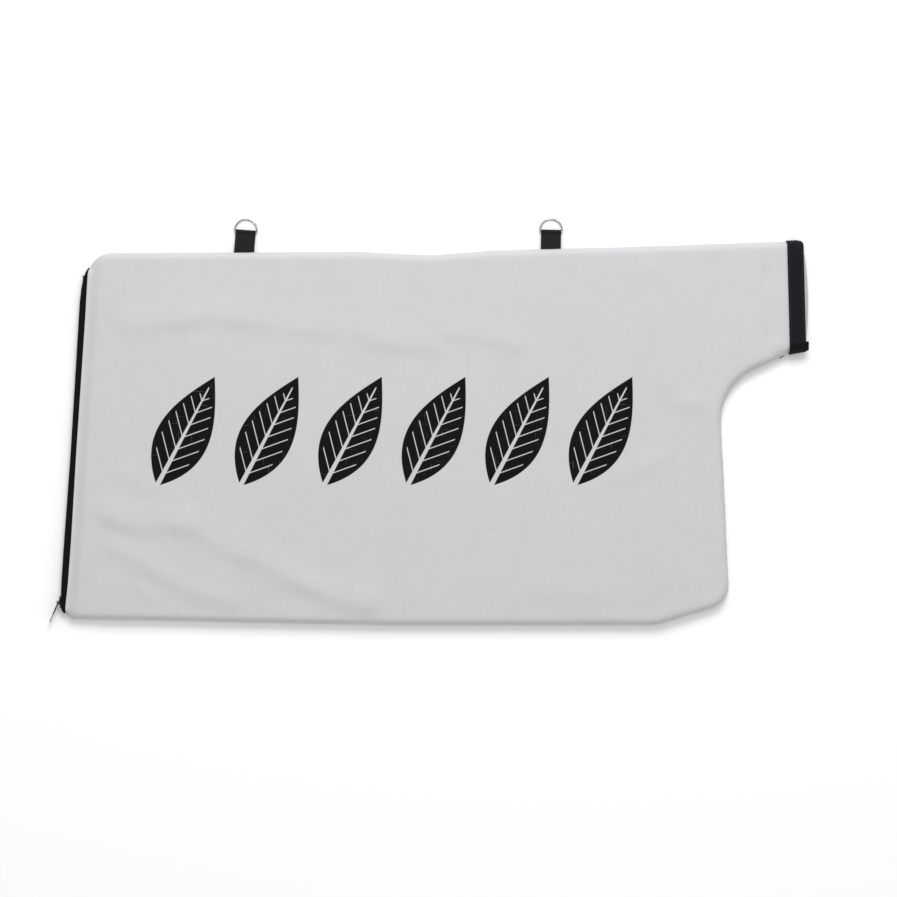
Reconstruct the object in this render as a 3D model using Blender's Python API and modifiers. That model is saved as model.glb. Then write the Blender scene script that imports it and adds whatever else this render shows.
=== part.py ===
"""Leaf collection bag for a garden vacuum, lying flat on its back panel.

Two woven fabric panels are sewn together round a long body with a side neck. The left end opens with a zip,
the neck's mouth has a webbing band, and two webbing tabs in the top seam each hold a steel D-ring.
Metres, +Z up. X runs from the zip to the mouth and Y to the edge with the tabs. The origin lies on the
surface that the bag rests on, under the middle of the body.
"""

import math

import bmesh
import bpy
from mathutils import Matrix, Vector
from mathutils.geometry import intersect_point_line

# Fabric and clearances
WALL = 0.0006
GAP = 0.0003
ZIP_GAP = 0.0004
WEBBING_THICKNESS = 0.0013

# Outline of the panels, seen from above
BODY_LEFT = -0.4424
BODY_LENGTH = 0.7982
BODY_BOTTOM = -0.2316
BODY_WIDTH = 0.4390
BOTTOM_SAG = 0.0076
CHAMFER_LENGTH = 0.0868
CHAMFER_RISE = 0.0267
END_EDGE_LEAN = 0.0122
NECK_LENGTH = 0.0917
NECK_WIDTH = 0.1300
NECK_RISE = 0.0141
NECK_SLANT = 0.0445
NECK_SLANT_LENGTH = 0.0834
NECK_FLARE = 0.0035
MOUTH_LEAN = 0.0034
BACK_MOUTH_REACH = 0.0050
TOP_EDGE = ((0.2230, 0.0070), (0.0710, 0.0030), (-0.0034, -0.0030), (-0.0830, 0.0015))
TOP_LEFT_INSET = 0.0300

# Corner radii of the outline
BOTTOM_LEFT_RADIUS = 0.0120
TOP_LEFT_RADIUS = 0.0290
BOTTOM_RIGHT_RADIUS = 0.0300
CHAMFER_RADIUS = 0.0800
NOTCH_RADIUS = 0.0670
NECK_RADIUS = 0.0300
SOFT_RADIUS = 0.1500

# Heights of the panels' middle surfaces
SEAM_HEIGHT = 0.0040
BODY_HEIGHT = 0.0162
ZIP_EDGE_HEIGHT = 0.0144
NECK_LIFT = 0.0020
SHOULDER = 0.0340
ZIP_SHOULDER = 0.0140
BACK_CURL = 0.0180
ZIP_BLEND = 0.0600
NECK_BLEND = 0.0500

# Folds of the front panel: two ends, height (below zero in a valley) and half width
FOLDS = (
    ((-0.328, 0.124), (0.020, 0.097), -0.0016, 0.020),
    ((-0.025, 0.137), (0.152, 0.096), 0.0014, 0.013),
    ((0.256, 0.209), (0.266, 0.031), -0.0018, 0.012),
    ((-0.407, -0.092), (-0.259, -0.141), -0.0024, 0.014),
    ((-0.259, -0.141), (-0.040, -0.223), -0.0026, 0.014),
    ((-0.293, -0.107), (-0.053, -0.209), 0.0014, 0.012),
    ((-0.396, -0.140), (-0.300, -0.223), 0.0012, 0.014),
    ((0.194, -0.059), (0.290, -0.031), -0.0012, 0.012),
    ((0.335, -0.024), (0.335, -0.223), -0.0014, 0.010),
)

# Panel mesh
EDGE_RINGS = (0.0030, 0.0060)
MESH_STEP = 0.0270
SNAP = 0.0050
ARC_STEP = math.radians(14.0)
MOUTH_STEPS = 20

# Zip along the left end
CHAIN_BULGE = 0.0050
CHAIN_HEIGHT = 0.0065
TAPE_THICKNESS = 0.0007
TAPE_TUCK = 0.0060
TAPE_BEND = 0.0024
TAPE_END_EDGE = 0.0006
TAPE_END_STATIONS = 4
TAPE_BEND_STEPS = 4
COIL_WIDTH = 0.0016
COIL_THICKNESS = 0.0022
ROW_GAP = 0.0010
STOP_LENGTH = 0.0025
STOP_THICKNESS = 0.0026
CHAIN_END_MARGIN = 0.0005

# Slider and pull
SLIDER_LENGTH = 0.0110
SLIDER_WIDTH = 0.0080
SLIDER_PLATE = 0.0010
SLIDER_WEB = 0.0004
BRIDGE_BORE = 0.0011
BRIDGE_WALL = 0.0010
BRIDGE_WIDTH = 0.0024
BRIDGE_OFFSET = 0.0022
BRIDGE_STEPS = 8
PULL_LENGTH = 0.0270
PULL_WIDTH = 0.0078
PULL_THICKNESS = 0.0012
PULL_TIP_RADIUS = 0.0036
PULL_EYE_LENGTH = 0.0032
PULL_REST_ANGLE = math.radians(20.0)

# Hanger tabs and D-rings: place along the top seam, reach and lean of each tab
TABS = {
    "left": (-0.2269, 0.0260, math.radians(-4.4)),
    "right": (0.1415, 0.0229, math.radians(-1.0)),
}
TAB_WIDTH = 0.0240
TAB_SLOPE = math.radians(4.0)
TAB_LOOP_SWEEP = math.radians(135.0)
TAB_LOOP_STEPS = 12
RING_WIRE = 0.0019
RING_HEIGHT = 0.01545
RING_CORNER = 0.0016
RING_BOW_RADIUS = 0.0130

# Webbing band round the mouth
BAND_WIDTH = 0.0195
BAND_INSET = 0.0006
BAND_POINTS = 21

COLLECTION_NAME = "leaf collection bag"


def clamp(value):
    """Value limited to the range 0 to 1."""
    return min(max(value, 0.0), 1.0)


def ease(value):
    """Smooth step from 0 to 1."""
    t = clamp(value)
    return t * t * (3.0 - 2.0 * t)


def round_rise(value):
    """Quarter of an ellipse that rises from 0 to 1."""
    t = clamp(value)
    return math.sqrt(t * (2.0 - t))


def rounded_run(corners):
    """Open run of points through corners (x, y, radius); its two ends stay sharp."""
    points = [Vector(corners[0][:2])]
    for before, corner, after in zip(corners, corners[1:], corners[2:]):
        points += corner_arc(before, corner, after)
    points.append(Vector(corners[-1][:2]))
    return points


def corner_arc(before, corner, after):
    """Points of the arc that rounds one corner."""
    place = Vector(corner[:2])
    radius = corner[2]
    back = (Vector(before[:2]) - place).normalized()
    ahead = (Vector(after[:2]) - place).normalized()
    turn = math.atan2(back.x * ahead.y - back.y * ahead.x, back.dot(ahead))
    half_turn = (math.pi - abs(turn)) / 2.0
    centre = place + (back + ahead).normalized() * radius / math.cos(half_turn)
    start = place + back * radius * math.tan(half_turn) - centre
    steps = max(1, round(2.0 * half_turn / ARC_STEP))
    side = -1.0 if turn > 0.0 else 1.0
    arc = []
    for step in range(steps + 1):
        angle = side * 2.0 * half_turn * step / steps
        arc.append(centre + start @ Matrix.Rotation(-angle, 2))
    return arc


def run_distance(point, run):
    """Shortest distance in plan from a point to a run of points."""
    nearest = math.inf
    for first, second in zip(run, run[1:]):
        foot, share = intersect_point_line(point, first, second)
        foot = first if share < 0.0 else second if share > 1.0 else foot
        nearest = min(nearest, (point - foot.to_2d()).length)
    return nearest


def y_on_run(run, x):
    """Y at an x on the first stretch of a run that reaches it, from a start at high x."""
    for first, second in zip(run, run[1:]):
        if second.x <= x <= first.x:
            share = (x - first.x) / (second.x - first.x)
            return first.y + share * (second.y - first.y)
    return run[0].y


class Outline:
    """Edges of the panels in plan, worked out from the driving dimensions."""

    def __init__(self):
        right = BODY_LEFT + BODY_LENGTH
        top = BODY_BOTTOM + BODY_WIDTH
        neck_top = top + NECK_RISE
        neck_low = neck_top - NECK_WIDTH
        mouth = right + NECK_LENGTH
        sag_x = BODY_LEFT + BODY_LENGTH / 2.0
        end_edge_x = right - END_EDGE_LEAN
        chamfer_low = BODY_BOTTOM - BOTTOM_SAG
        self.mouth_low = Vector((mouth, neck_low))
        self.mouth_top = Vector((mouth - MOUTH_LEAN, neck_top))
        self.zip_bottom_corner = (BODY_LEFT, BODY_BOTTOM, BOTTOM_LEFT_RADIUS)
        self.zip_top_corner = (BODY_LEFT + TOP_LEFT_INSET, top, TOP_LEFT_RADIUS)
        bottom = [
            self.zip_bottom_corner,
            (sag_x, chamfer_low, SOFT_RADIUS),
            (right - CHAMFER_LENGTH, chamfer_low, CHAMFER_RADIUS),
            (right, chamfer_low + CHAMFER_RISE, BOTTOM_RIGHT_RADIUS),
            (end_edge_x, neck_low - NECK_SLANT, NOTCH_RADIUS),
            (end_edge_x + NECK_SLANT_LENGTH, neck_low - NECK_FLARE, NECK_RADIUS),
            (*self.mouth_low, 0.0),
        ]
        top_edge = [(*self.mouth_top, 0.0)]
        top_edge += [(x, top + rise, SOFT_RADIUS) for x, rise in TOP_EDGE]
        top_edge.append(self.zip_top_corner)
        self.bottom_arc = corner_arc(self.zip_top_corner, self.zip_bottom_corner, bottom[1])
        self.top_arc = corner_arc(top_edge[-2], self.zip_top_corner, self.zip_bottom_corner)
        self.bottom_seam = [self.bottom_arc[-1]] + rounded_run(bottom)[1:]
        self.top_seam = rounded_run(top_edge)[:-1] + [self.top_arc[0]]
        self.zip_start = self.bottom_arc[0]
        self.zip_end = self.top_arc[-1]
        self.zip_along = (self.zip_end - self.zip_start).normalized()
        self.zip_out = Vector((-self.zip_along.y, self.zip_along.x))
        self.zip_length = (self.zip_end - self.zip_start).length

    def points(self, mouth_reach):
        """Closed outline, anticlockwise, with the mouth's middle moved out by mouth_reach."""
        mouth = []
        for index in range(1, MOUTH_STEPS):
            share = index / MOUTH_STEPS
            bow = Vector((mouth_reach * math.sin(math.pi * share), 0.0))
            mouth.append(self.mouth_low.lerp(self.mouth_top, share) + bow)
        return self.bottom_arc[:-1] + self.bottom_seam + mouth + self.top_seam[:-1] + self.top_arc

    def seam_distance(self, point):
        """Distance from a point to the nearer of the two long seams."""
        return min(run_distance(point, self.bottom_seam), run_distance(point, self.top_seam))

    def zip_distance(self, point):
        """Distance from a point inwards from the zip's edge."""
        return (self.zip_start - point).dot(self.zip_out)

    def top_edge_y(self, x):
        """Y of the top seam at an x."""
        return y_on_run(self.top_seam, x)

    def neck_low_y(self, x):
        """Y of the neck's lower seam at an x."""
        return y_on_run(self.bottom_seam[::-1], x)

    def neck_share(self, x):
        """0 in the body and 1 in the neck, with a smooth change between."""
        start = BODY_LEFT + BODY_LENGTH
        return ease((x - start) / NECK_BLEND)


OUTLINE = Outline()


def fold_height(point):
    """Sum of the front panel's folds at a point."""
    total = 0.0
    for start, end, height, half_width in FOLDS:
        distance = run_distance(point, (Vector(start), Vector(end)))
        total += height * math.exp(-((distance / half_width) ** 2))
    return total


def front_height(x, y):
    """Height of the front panel's middle surface."""
    point = Vector((x, y))
    near_zip = 1.0 - ease(OUTLINE.zip_distance(point) / ZIP_BLEND)
    full = BODY_HEIGHT + fold_height(point)
    full += (ZIP_EDGE_HEIGHT - full) * near_zip
    width = SHOULDER + (ZIP_SHOULDER - SHOULDER) * near_zip
    seam = SEAM_HEIGHT + WALL + GAP
    return seam + (full - seam) * round_rise(OUTLINE.seam_distance(point) / width)


def back_height(x, y):
    """Height of the back panel's middle surface, which lies on the floor in the body."""
    point = Vector((x, y))
    flat = WALL / 2.0 + NECK_LIFT * OUTLINE.neck_share(x)
    curl = round_rise(OUTLINE.seam_distance(point) / BACK_CURL)
    return SEAM_HEIGHT + (flat - SEAM_HEIGHT) * curl


def material(name, colour, roughness, metallic=0.0):
    """Principled material."""
    made = bpy.data.materials.new(name)
    made.use_nodes = True
    shader = made.node_tree.nodes["Principled BSDF"]
    shader.inputs["Base Color"].default_value = (*colour, 1.0)
    shader.inputs["Roughness"].default_value = roughness
    shader.inputs["Metallic"].default_value = metallic
    return made


def place(name, mesh, finish, collection, parent=None):
    """Object in the part's collection with its material and parent."""
    obj = bpy.data.objects.new(name, mesh)
    mesh.materials.clear()
    mesh.materials.append(finish)
    collection.objects.link(obj)
    obj.parent = parent
    return obj


def thicken(obj, thickness):
    """Solidify modifier, half the thickness to each side."""
    modifier = obj.modifiers.new("thickness", "SOLIDIFY")
    modifier.thickness = thickness
    modifier.offset = 0.0
    modifier.use_even_offset = True


def soften(obj, width, segments=2):
    """Bevel modifier on the sharp edges."""
    modifier = obj.modifiers.new("rounded edges", "BEVEL")
    modifier.width = width
    modifier.segments = segments
    modifier.limit_method = "ANGLE"


def cut_inner_face(bm, origin, normal):
    """Cut the panel's inner faces along one line."""
    inner = [face for face in bm.faces if face.material_index == 1]
    edges = list({edge for face in inner for edge in face.edges})
    verts = list({vert for face in inner for vert in face.verts})
    bmesh.ops.bisect_plane(bm, geom=verts + edges + inner, dist=SNAP, plane_co=origin, plane_no=normal)


def panel_mesh(name, outline, height):
    """Open panel surface: an outline with rings along its edge and a grid inside, raised to its height."""
    bm = bmesh.new()
    face = bm.faces.new([bm.verts.new((*point, 0.0)) for point in outline])
    for thickness in EDGE_RINGS:
        bmesh.ops.inset_individual(bm, faces=[face], thickness=thickness, use_even_offset=True)
    face.material_index = 1
    low = Vector((min(p.x for p in outline), min(p.y for p in outline), 0.0))
    high = Vector((max(p.x for p in outline), max(p.y for p in outline), 0.0))
    for axis in range(2):
        normal = Vector((0.0, 0.0, 0.0))
        normal[axis] = 1.0
        count = round((high[axis] - low[axis]) / MESH_STEP)
        for index in range(1, count):
            cut_inner_face(bm, low.lerp(high, index / count), normal)
    bmesh.ops.triangulate(bm, faces=bm.faces)
    for vert in bm.verts:
        vert.co.z = height(vert.co.x, vert.co.y)
    for face in bm.faces:
        face.material_index = 0
        face.smooth = True
    return to_mesh(bm, name)


def to_mesh(bm, name):
    """Mesh data from a bmesh, which is freed."""
    mesh = bpy.data.meshes.new(name)
    bm.to_mesh(mesh)
    bm.free()
    return mesh


def loft_mesh(name, rows, closed=False):
    """Surface through rows of points with the same count, each row closed or open."""
    bm = bmesh.new()
    verts = [[bm.verts.new(point) for point in row] for row in rows]
    for row, following in zip(verts, verts[1:]):
        pairs = list(zip(range(len(row) - 1), range(1, len(row))))
        if closed:
            pairs.append((len(row) - 1, 0))
        for first, second in pairs:
            face = bm.faces.new((row[first], row[second], following[second], following[first]))
            face.smooth = True
    bmesh.ops.triangulate(bm, faces=bm.faces)
    return to_mesh(bm, name)


def box_mesh(name, centre, size):
    """Box from its centre and its three sizes."""
    bm = bmesh.new()
    matrix = Matrix.Translation(centre) @ Matrix.Diagonal((*size, 1.0))
    bmesh.ops.create_cube(bm, size=1.0, matrix=matrix)
    return to_mesh(bm, name)


def plate_mesh(name, outlines, thickness):
    """Flat plate from closed outlines in its XY plane, with holes where one lies in another."""
    curve = bpy.data.curves.new(name, "CURVE")
    curve.dimensions = "2D"
    curve.fill_mode = "BOTH"
    curve.extrude = thickness / 2.0
    for outline in outlines:
        spline = curve.splines.new("POLY")
        spline.points.add(len(outline) - 1)
        for point, target in zip(outline, spline.points):
            target.co = (point[0], point[1], 0.0, 1.0)
        spline.use_cyclic_u = True
    holder = bpy.data.objects.new(name, curve)
    bpy.context.scene.collection.objects.link(holder)
    evaluated = holder.evaluated_get(bpy.context.evaluated_depsgraph_get())
    mesh = bpy.data.meshes.new_from_object(evaluated)
    bpy.data.objects.remove(holder)
    bpy.data.curves.remove(curve)
    bm = bmesh.new()
    bm.from_mesh(mesh)
    bmesh.ops.remove_doubles(bm, verts=bm.verts, dist=0.00001)
    bpy.data.meshes.remove(mesh)
    return to_mesh(bm, name)


def make_panels(collection):
    """Front and back panels, each one sheet of woven fabric."""
    fabric = material("woven fabric", (0.62, 0.63, 0.65), 0.85)
    front = place("front_panel", panel_mesh("front_panel", OUTLINE.points(0.0), front_height), fabric, collection)
    back_outline = OUTLINE.points(BACK_MOUTH_REACH)
    back = place("back_panel", panel_mesh("back_panel", back_outline, back_height), fabric, collection)
    thicken(front, WALL)
    thicken(back, WALL)


def make_neck_band(collection):
    """Webbing band sewn round the outside of both panels at the mouth."""
    webbing = material("black webbing", (0.012, 0.012, 0.014), 0.8)
    offset = WALL / 2.0 + GAP + WEBBING_THICKNESS / 2.0
    rows = []
    for share in (0.0, 0.5, 1.0):
        rows.append(band_section(BAND_INSET + BAND_WIDTH * share, offset))
    band = place("neck_band", loft_mesh("neck_band", rows, closed=True), webbing, collection)
    thicken(band, WEBBING_THICKNESS)


def band_section(inset, offset):
    """Closed section of the band, a fixed distance outside both panels and a given inset from the mouth."""
    low_x = OUTLINE.mouth_low.x - inset
    top_x = OUTLINE.mouth_top.x - inset
    low = Vector((low_x, OUTLINE.neck_low_y(low_x)))
    top = Vector((top_x, OUTLINE.top_edge_y(top_x)))
    loop = []
    for side, height in ((1, front_height), (-1, back_height)):
        shares = [0.5 - 0.5 * math.cos(math.pi * index / BAND_POINTS) for index in range(BAND_POINTS + 1)]
        if side < 0:
            shares.reverse()
        for share in shares:
            point = low.lerp(top, share)
            loop.append(Vector((point.x, point.y, height(point.x, point.y))))
    section = []
    for index, point in enumerate(loop):
        before = loop[index - 1]
        after = loop[(index + 1) % len(loop)]
        outwards = miter(point.yz - before.yz, after.yz - point.yz)
        section.append(Vector((point.x, point.y + outwards.x * offset, point.z + outwards.y * offset)))
    return section


def miter(arriving, leaving):
    """Outward offset of unit distance at a point between two directions of a clockwise loop."""
    first = Vector((-arriving.y, arriving.x)).normalized()
    second = Vector((-leaving.y, leaving.x)).normalized()
    return (first + second) / (1.0 + first.dot(second))


def tape_rows(upper):
    """Rows of one zip tape, which follows the zip's edge and goes round both corners."""
    ends = []
    for arc in (OUTLINE.bottom_arc, OUTLINE.top_arc[::-1]):
        end = []
        for index in range(TAPE_END_STATIONS):
            share = 1.0 - index / (TAPE_END_STATIONS - 1.0)
            end.append(tape_section(arc[index], arc_out(arc, index), share, upper))
        ends.append(end)
    return ends[0][::-1] + ends[1]


def arc_out(arc, index):
    """Outward direction at a point of a corner's arc; the first point has the zip's own direction."""
    if index == 0:
        return OUTLINE.zip_out
    ahead = arc[min(index + 1, len(arc) - 1)] - arc[index - 1]
    across = Vector((-ahead.y, ahead.x)).normalized()
    return across if across.dot(OUTLINE.zip_out) > 0.0 else -across


def tape_section(point, outwards, share, upper):
    """One section of a tape, from its tucked edge under the panel to its edge at the chain."""
    height = front_height if upper else back_height
    side = 1.0 if upper else -1.0
    tuck = height(point.x, point.y) - side * (WALL / 2.0 + ZIP_GAP + TAPE_THICKNESS / 2.0)
    row_edge = ROW_GAP / 2.0 + COIL_WIDTH + GAP
    edge = TAPE_END_EDGE if share < 1.0 else row_edge
    reach = CHAIN_BULGE * share
    bend = min(TAPE_BEND, abs(tuck - CHAIN_HEIGHT) - edge)
    flat = [(-TAPE_TUCK, tuck)]
    for step in range(TAPE_BEND_STEPS + 1):
        angle = math.pi / 2.0 * step / TAPE_BEND_STEPS
        across = reach - bend + bend * math.sin(angle)
        flat.append((across, tuck - side * bend * (1.0 - math.cos(angle))))
    flat.append((reach, CHAIN_HEIGHT + side * edge))
    return [(*(point + outwards * across), z) for across, z in flat]


def make_zip(collection):
    """Tapes, coil rows and stops, and the frame that the slider runs in."""
    black_tape = material("zip tape", (0.010, 0.010, 0.012), 0.9)
    nylon = material("zip coil", (0.012, 0.012, 0.013), 0.45)
    stop_metal = material("zip stop", (0.10, 0.10, 0.11), 0.4, 0.9)
    for side, upper in (("front", True), ("back", False)):
        name = "zip_tape_" + side
        tape = place(name, loft_mesh(name, tape_rows(upper)), black_tape, collection)
        thicken(tape, TAPE_THICKNESS)
    line = bpy.data.objects.new("zip_line", None)
    collection.objects.link(line)
    line.location = (*OUTLINE.zip_start, CHAIN_HEIGHT)
    line.rotation_euler = (0.0, 0.0, math.atan2(OUTLINE.zip_along.y, OUTLINE.zip_along.x) - math.pi / 2.0)
    row_centre = (ROW_GAP + COIL_WIDTH) / 2.0
    row_start = CHAIN_END_MARGIN + STOP_LENGTH + GAP
    row_end = OUTLINE.zip_length - row_start
    for side, sign in (("front", 1.0), ("back", -1.0)):
        centre = Vector((-CHAIN_BULGE, (row_start + row_end) / 2.0, sign * row_centre))
        size = (COIL_THICKNESS, row_end - row_start, COIL_WIDTH)
        coil = place("zip_coil_" + side, box_mesh("zip_coil_" + side, centre, size), nylon, collection, line)
        soften(coil, COIL_WIDTH / 4.0)
        centre = Vector((-CHAIN_BULGE, CHAIN_END_MARGIN + STOP_LENGTH / 2.0, sign * row_centre))
        size = (STOP_THICKNESS, STOP_LENGTH, COIL_WIDTH)
        name = "zip_top_stop_" + side
        stop = place(name, box_mesh(name, centre, size), stop_metal, collection, line)
        soften(stop, COIL_WIDTH / 5.0)
    centre = Vector((-CHAIN_BULGE, row_end + GAP + STOP_LENGTH / 2.0, 0.0))
    size = (STOP_THICKNESS, STOP_LENGTH, ROW_GAP + 2.0 * COIL_WIDTH)
    stop = place("zip_bottom_stop", box_mesh("zip_bottom_stop", centre, size), stop_metal, collection, line)
    soften(stop, COIL_WIDTH / 5.0)
    return line


def slider_plate_face():
    """Distance from the chain's middle to the outer face of the slider's outer plate."""
    return max(COIL_THICKNESS, STOP_THICKNESS) / 2.0 + GAP + SLIDER_PLATE


def make_slider(collection, cutters, line):
    """Slider round the closed chain: two plates joined by a web between the coil rows, and a bridge."""
    zinc = material("zip slider", (0.06, 0.06, 0.065), 0.35, 0.9)
    outer = slider_plate_face()
    inner = outer - SLIDER_PLATE
    half = SLIDER_WIDTH / 2.0
    web = SLIDER_WEB / 2.0
    section = [(-outer, -half), (-inner, -half), (-inner, -web), (inner, -web), (inner, -half), (outer, -half),
               (outer, half), (inner, half), (inner, web), (-inner, web), (-inner, half), (-outer, half)]
    mesh = plate_mesh("zip_slider", [section], SLIDER_LENGTH)
    mesh.transform(Matrix.Rotation(math.pi / 2.0, 4, "X"))
    slider = place("zip_slider", mesh, zinc, collection, line)
    rest = CHAIN_END_MARGIN + STOP_LENGTH + GAP + SLIDER_LENGTH / 2.0
    slider.location = (-CHAIN_BULGE, rest, 0.0)

    bridge_mesh = plate_mesh("bridge", [bridge_outline()], BRIDGE_WIDTH)
    bridge = place("bridge", bridge_mesh, zinc, cutters, line)
    bridge.location = slider.location
    bridge.hide_render = True
    bridge.display_type = "WIRE"
    union = slider.modifiers.new("bridge", "BOOLEAN")
    union.operation = "UNION"
    union.object = bridge
    return slider


def bridge_outline():
    """Outline of the bridge: half a ring on two legs that stand on the slider's outer plate."""
    centre = Vector((-bridge_height(), -BRIDGE_OFFSET))
    foot = -slider_plate_face() + SLIDER_PLATE / 2.0
    outer = BRIDGE_BORE + BRIDGE_WALL
    points = [(foot, centre.y - outer)]
    for step in range(BRIDGE_STEPS + 1):
        angle = math.pi * (1.5 - step / BRIDGE_STEPS)
        points.append((centre.x + outer * math.cos(angle), centre.y + outer * math.sin(angle)))
    points.append((foot, centre.y + outer))
    points.append((foot, centre.y + BRIDGE_BORE))
    for step in range(BRIDGE_STEPS + 1):
        angle = math.pi * (0.5 + step / BRIDGE_STEPS)
        across = centre.x + BRIDGE_BORE * math.cos(angle)
        points.append((across, centre.y + BRIDGE_BORE * math.sin(angle)))
    points.append((foot, centre.y - BRIDGE_BORE))
    return points


def bridge_height():
    """Distance from the chain's middle to the axis that the pull turns on."""
    return slider_plate_face() + BRIDGE_BORE


def make_pull(collection, line, slider):
    """Flat pull that hangs in the bridge by the bar at its end and turns on it."""
    steel = material("zip pull", (0.35, 0.35, 0.36), 0.3, 1.0)
    half = PULL_WIDTH / 2.0
    bar = PULL_THICKNESS / 2.0
    hole_half = BRIDGE_WIDTH / 2.0 + GAP
    end = PULL_LENGTH - bar
    corners = [(-bar, 0.0, 0.0), (-bar, -half, BRIDGE_WALL), (end, -half, PULL_TIP_RADIUS),
               (end, half, PULL_TIP_RADIUS), (-bar, half, BRIDGE_WALL), (-bar, 0.0, 0.0)]
    outer = rounded_run(corners)[:-1]
    hole = [(bar, -hole_half), (bar, hole_half), (PULL_EYE_LENGTH, hole_half), (PULL_EYE_LENGTH, -hole_half)]
    mesh = plate_mesh("zip_pull", [outer, hole], PULL_THICKNESS)
    mesh.transform(Matrix.Rotation(math.pi / 2.0, 4, "X"))
    pull = place("zip_pull", mesh, steel, collection, slider)
    pull.location = (-bridge_height(), -BRIDGE_OFFSET, 0.0)
    pull.rotation_euler = (0.0, 0.0, -math.pi / 2.0 - PULL_REST_ANGLE)
    return pull


def make_hangers(collection):
    """Webbing tabs in the top seam, each folded round the bar of its D-ring."""
    webbing = material("tab webbing", (0.020, 0.020, 0.022), 0.8)
    steel = material("ring steel", (0.45, 0.45, 0.46), 0.25, 1.0)
    loop_radius = RING_WIRE / 2.0 + GAP + WEBBING_THICKNESS / 2.0
    leg = (WEBBING_THICKNESS + GAP) / 2.0
    for side, (x, reach, lean) in TABS.items():
        bar_reach = reach - loop_radius - WEBBING_THICKNESS / 2.0
        frame = bpy.data.objects.new("hanger_" + side, None)
        collection.objects.link(frame)
        stand_off = 2.0 * GAP + TAB_WIDTH / 2.0 * abs(math.sin(lean))
        seam_middle = SEAM_HEIGHT + (WALL + GAP) / 2.0
        frame.location = (x, OUTLINE.top_edge_y(x) + stand_off, seam_middle)
        frame.rotation_euler = (-TAB_SLOPE, 0.0, lean)
        mesh = loft_mesh("hanger_tab_" + side, tab_rows(bar_reach, loop_radius, leg))
        tab = place("hanger_tab_" + side, mesh, webbing, collection, frame)
        thicken(tab, WEBBING_THICKNESS)
        ring = place("d_ring_" + side, ring_mesh("d_ring_" + side), steel, collection, frame)
        ring.location = (0.0, bar_reach, 0.0)
        bar_height = seam_middle - bar_reach * math.sin(TAB_SLOPE)
        tilt = math.asin((bar_height - RING_WIRE / 2.0) / RING_HEIGHT)
        ring.rotation_euler = (TAB_SLOPE - tilt, 0.0, 0.0)


def tab_rows(bar_reach, loop_radius, leg):
    """Two rows of points, at the tab's two edges, of the folded strip's middle surface."""
    neck = bar_reach - 2.0 * loop_radius
    profile = [(0.0, -leg), (neck, -leg)]
    for step in range(TAB_LOOP_STEPS + 1):
        angle = TAB_LOOP_SWEEP * (2.0 * step / TAB_LOOP_STEPS - 1.0)
        profile.append((bar_reach + loop_radius * math.cos(angle), loop_radius * math.sin(angle)))
    profile += [(neck, leg), (0.0, leg)]
    rows = []
    for x in (-TAB_WIDTH / 2.0, TAB_WIDTH / 2.0):
        rows.append([(x, y, z) for y, z in profile])
    return rows


def ring_mesh(name):
    """Closed D of round wire in its XY plane, with the middle of its straight bar at the origin."""
    half = (TAB_WIDTH + RING_WIRE) / 2.0 + GAP
    corners = [(0.0, 0.0, 0.0), (half, 0.0, RING_CORNER), (half, RING_HEIGHT, RING_BOW_RADIUS),
               (-half, RING_HEIGHT, RING_BOW_RADIUS), (-half, 0.0, RING_CORNER), (0.0, 0.0, 0.0)]
    path = rounded_run(corners)[:-1]
    curve = bpy.data.curves.new(name, "CURVE")
    curve.dimensions = "3D"
    curve.bevel_depth = RING_WIRE / 2.0
    curve.bevel_resolution = 2
    spline = curve.splines.new("POLY")
    spline.points.add(len(path) - 1)
    for point, target in zip(path, spline.points):
        target.co = (point.x, point.y, 0.0, 1.0)
    spline.use_cyclic_u = True
    holder = bpy.data.objects.new(name, curve)
    bpy.context.scene.collection.objects.link(holder)
    evaluated = holder.evaluated_get(bpy.context.evaluated_depsgraph_get())
    mesh = bpy.data.meshes.new_from_object(evaluated)
    bpy.data.objects.remove(holder)
    bpy.data.curves.remove(curve)
    mesh.shade_smooth()
    return mesh


def new_collection(name):
    """Collection under the scene's own."""
    made = bpy.data.collections.new(name)
    bpy.context.scene.collection.children.link(made)
    return made


def main():
    """Clear the scene and build the bag."""
    for obj in list(bpy.data.objects):
        bpy.data.objects.remove(obj, do_unlink=True)
    collection = new_collection(COLLECTION_NAME)
    cutters = new_collection("bridge shape")
    make_panels(collection)
    make_neck_band(collection)
    line = make_zip(collection)
    slider = make_slider(collection, cutters, line)
    make_pull(collection, line, slider)
    make_hangers(collection)


main()
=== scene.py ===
"""Looks of the leaf collection bag: cloth, zip, webbing, rings and stage, built round the packed model."""

import math

import bmesh
import bpy
import numpy as np
from bpy.props import FloatProperty, FloatVectorProperty
from mathutils import Matrix, Vector, noise


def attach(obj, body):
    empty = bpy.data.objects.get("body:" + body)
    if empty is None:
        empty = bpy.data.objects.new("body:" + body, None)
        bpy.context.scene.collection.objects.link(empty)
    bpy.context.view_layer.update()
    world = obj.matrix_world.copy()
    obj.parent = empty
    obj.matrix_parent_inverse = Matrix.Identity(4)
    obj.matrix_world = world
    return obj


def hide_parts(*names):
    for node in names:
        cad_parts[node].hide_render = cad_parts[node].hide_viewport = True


bl_info = {
    "name": "Leaf Collection Bag",
    "version": (1, 0, 0),
    "blender": (4, 5, 0),
    "location": "3D View > Sidebar > Leaf Bag",
    "description": "Builds the cloth, zip, webbing and rings of a leaf collection bag",
    "category": "Object",
}

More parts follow.
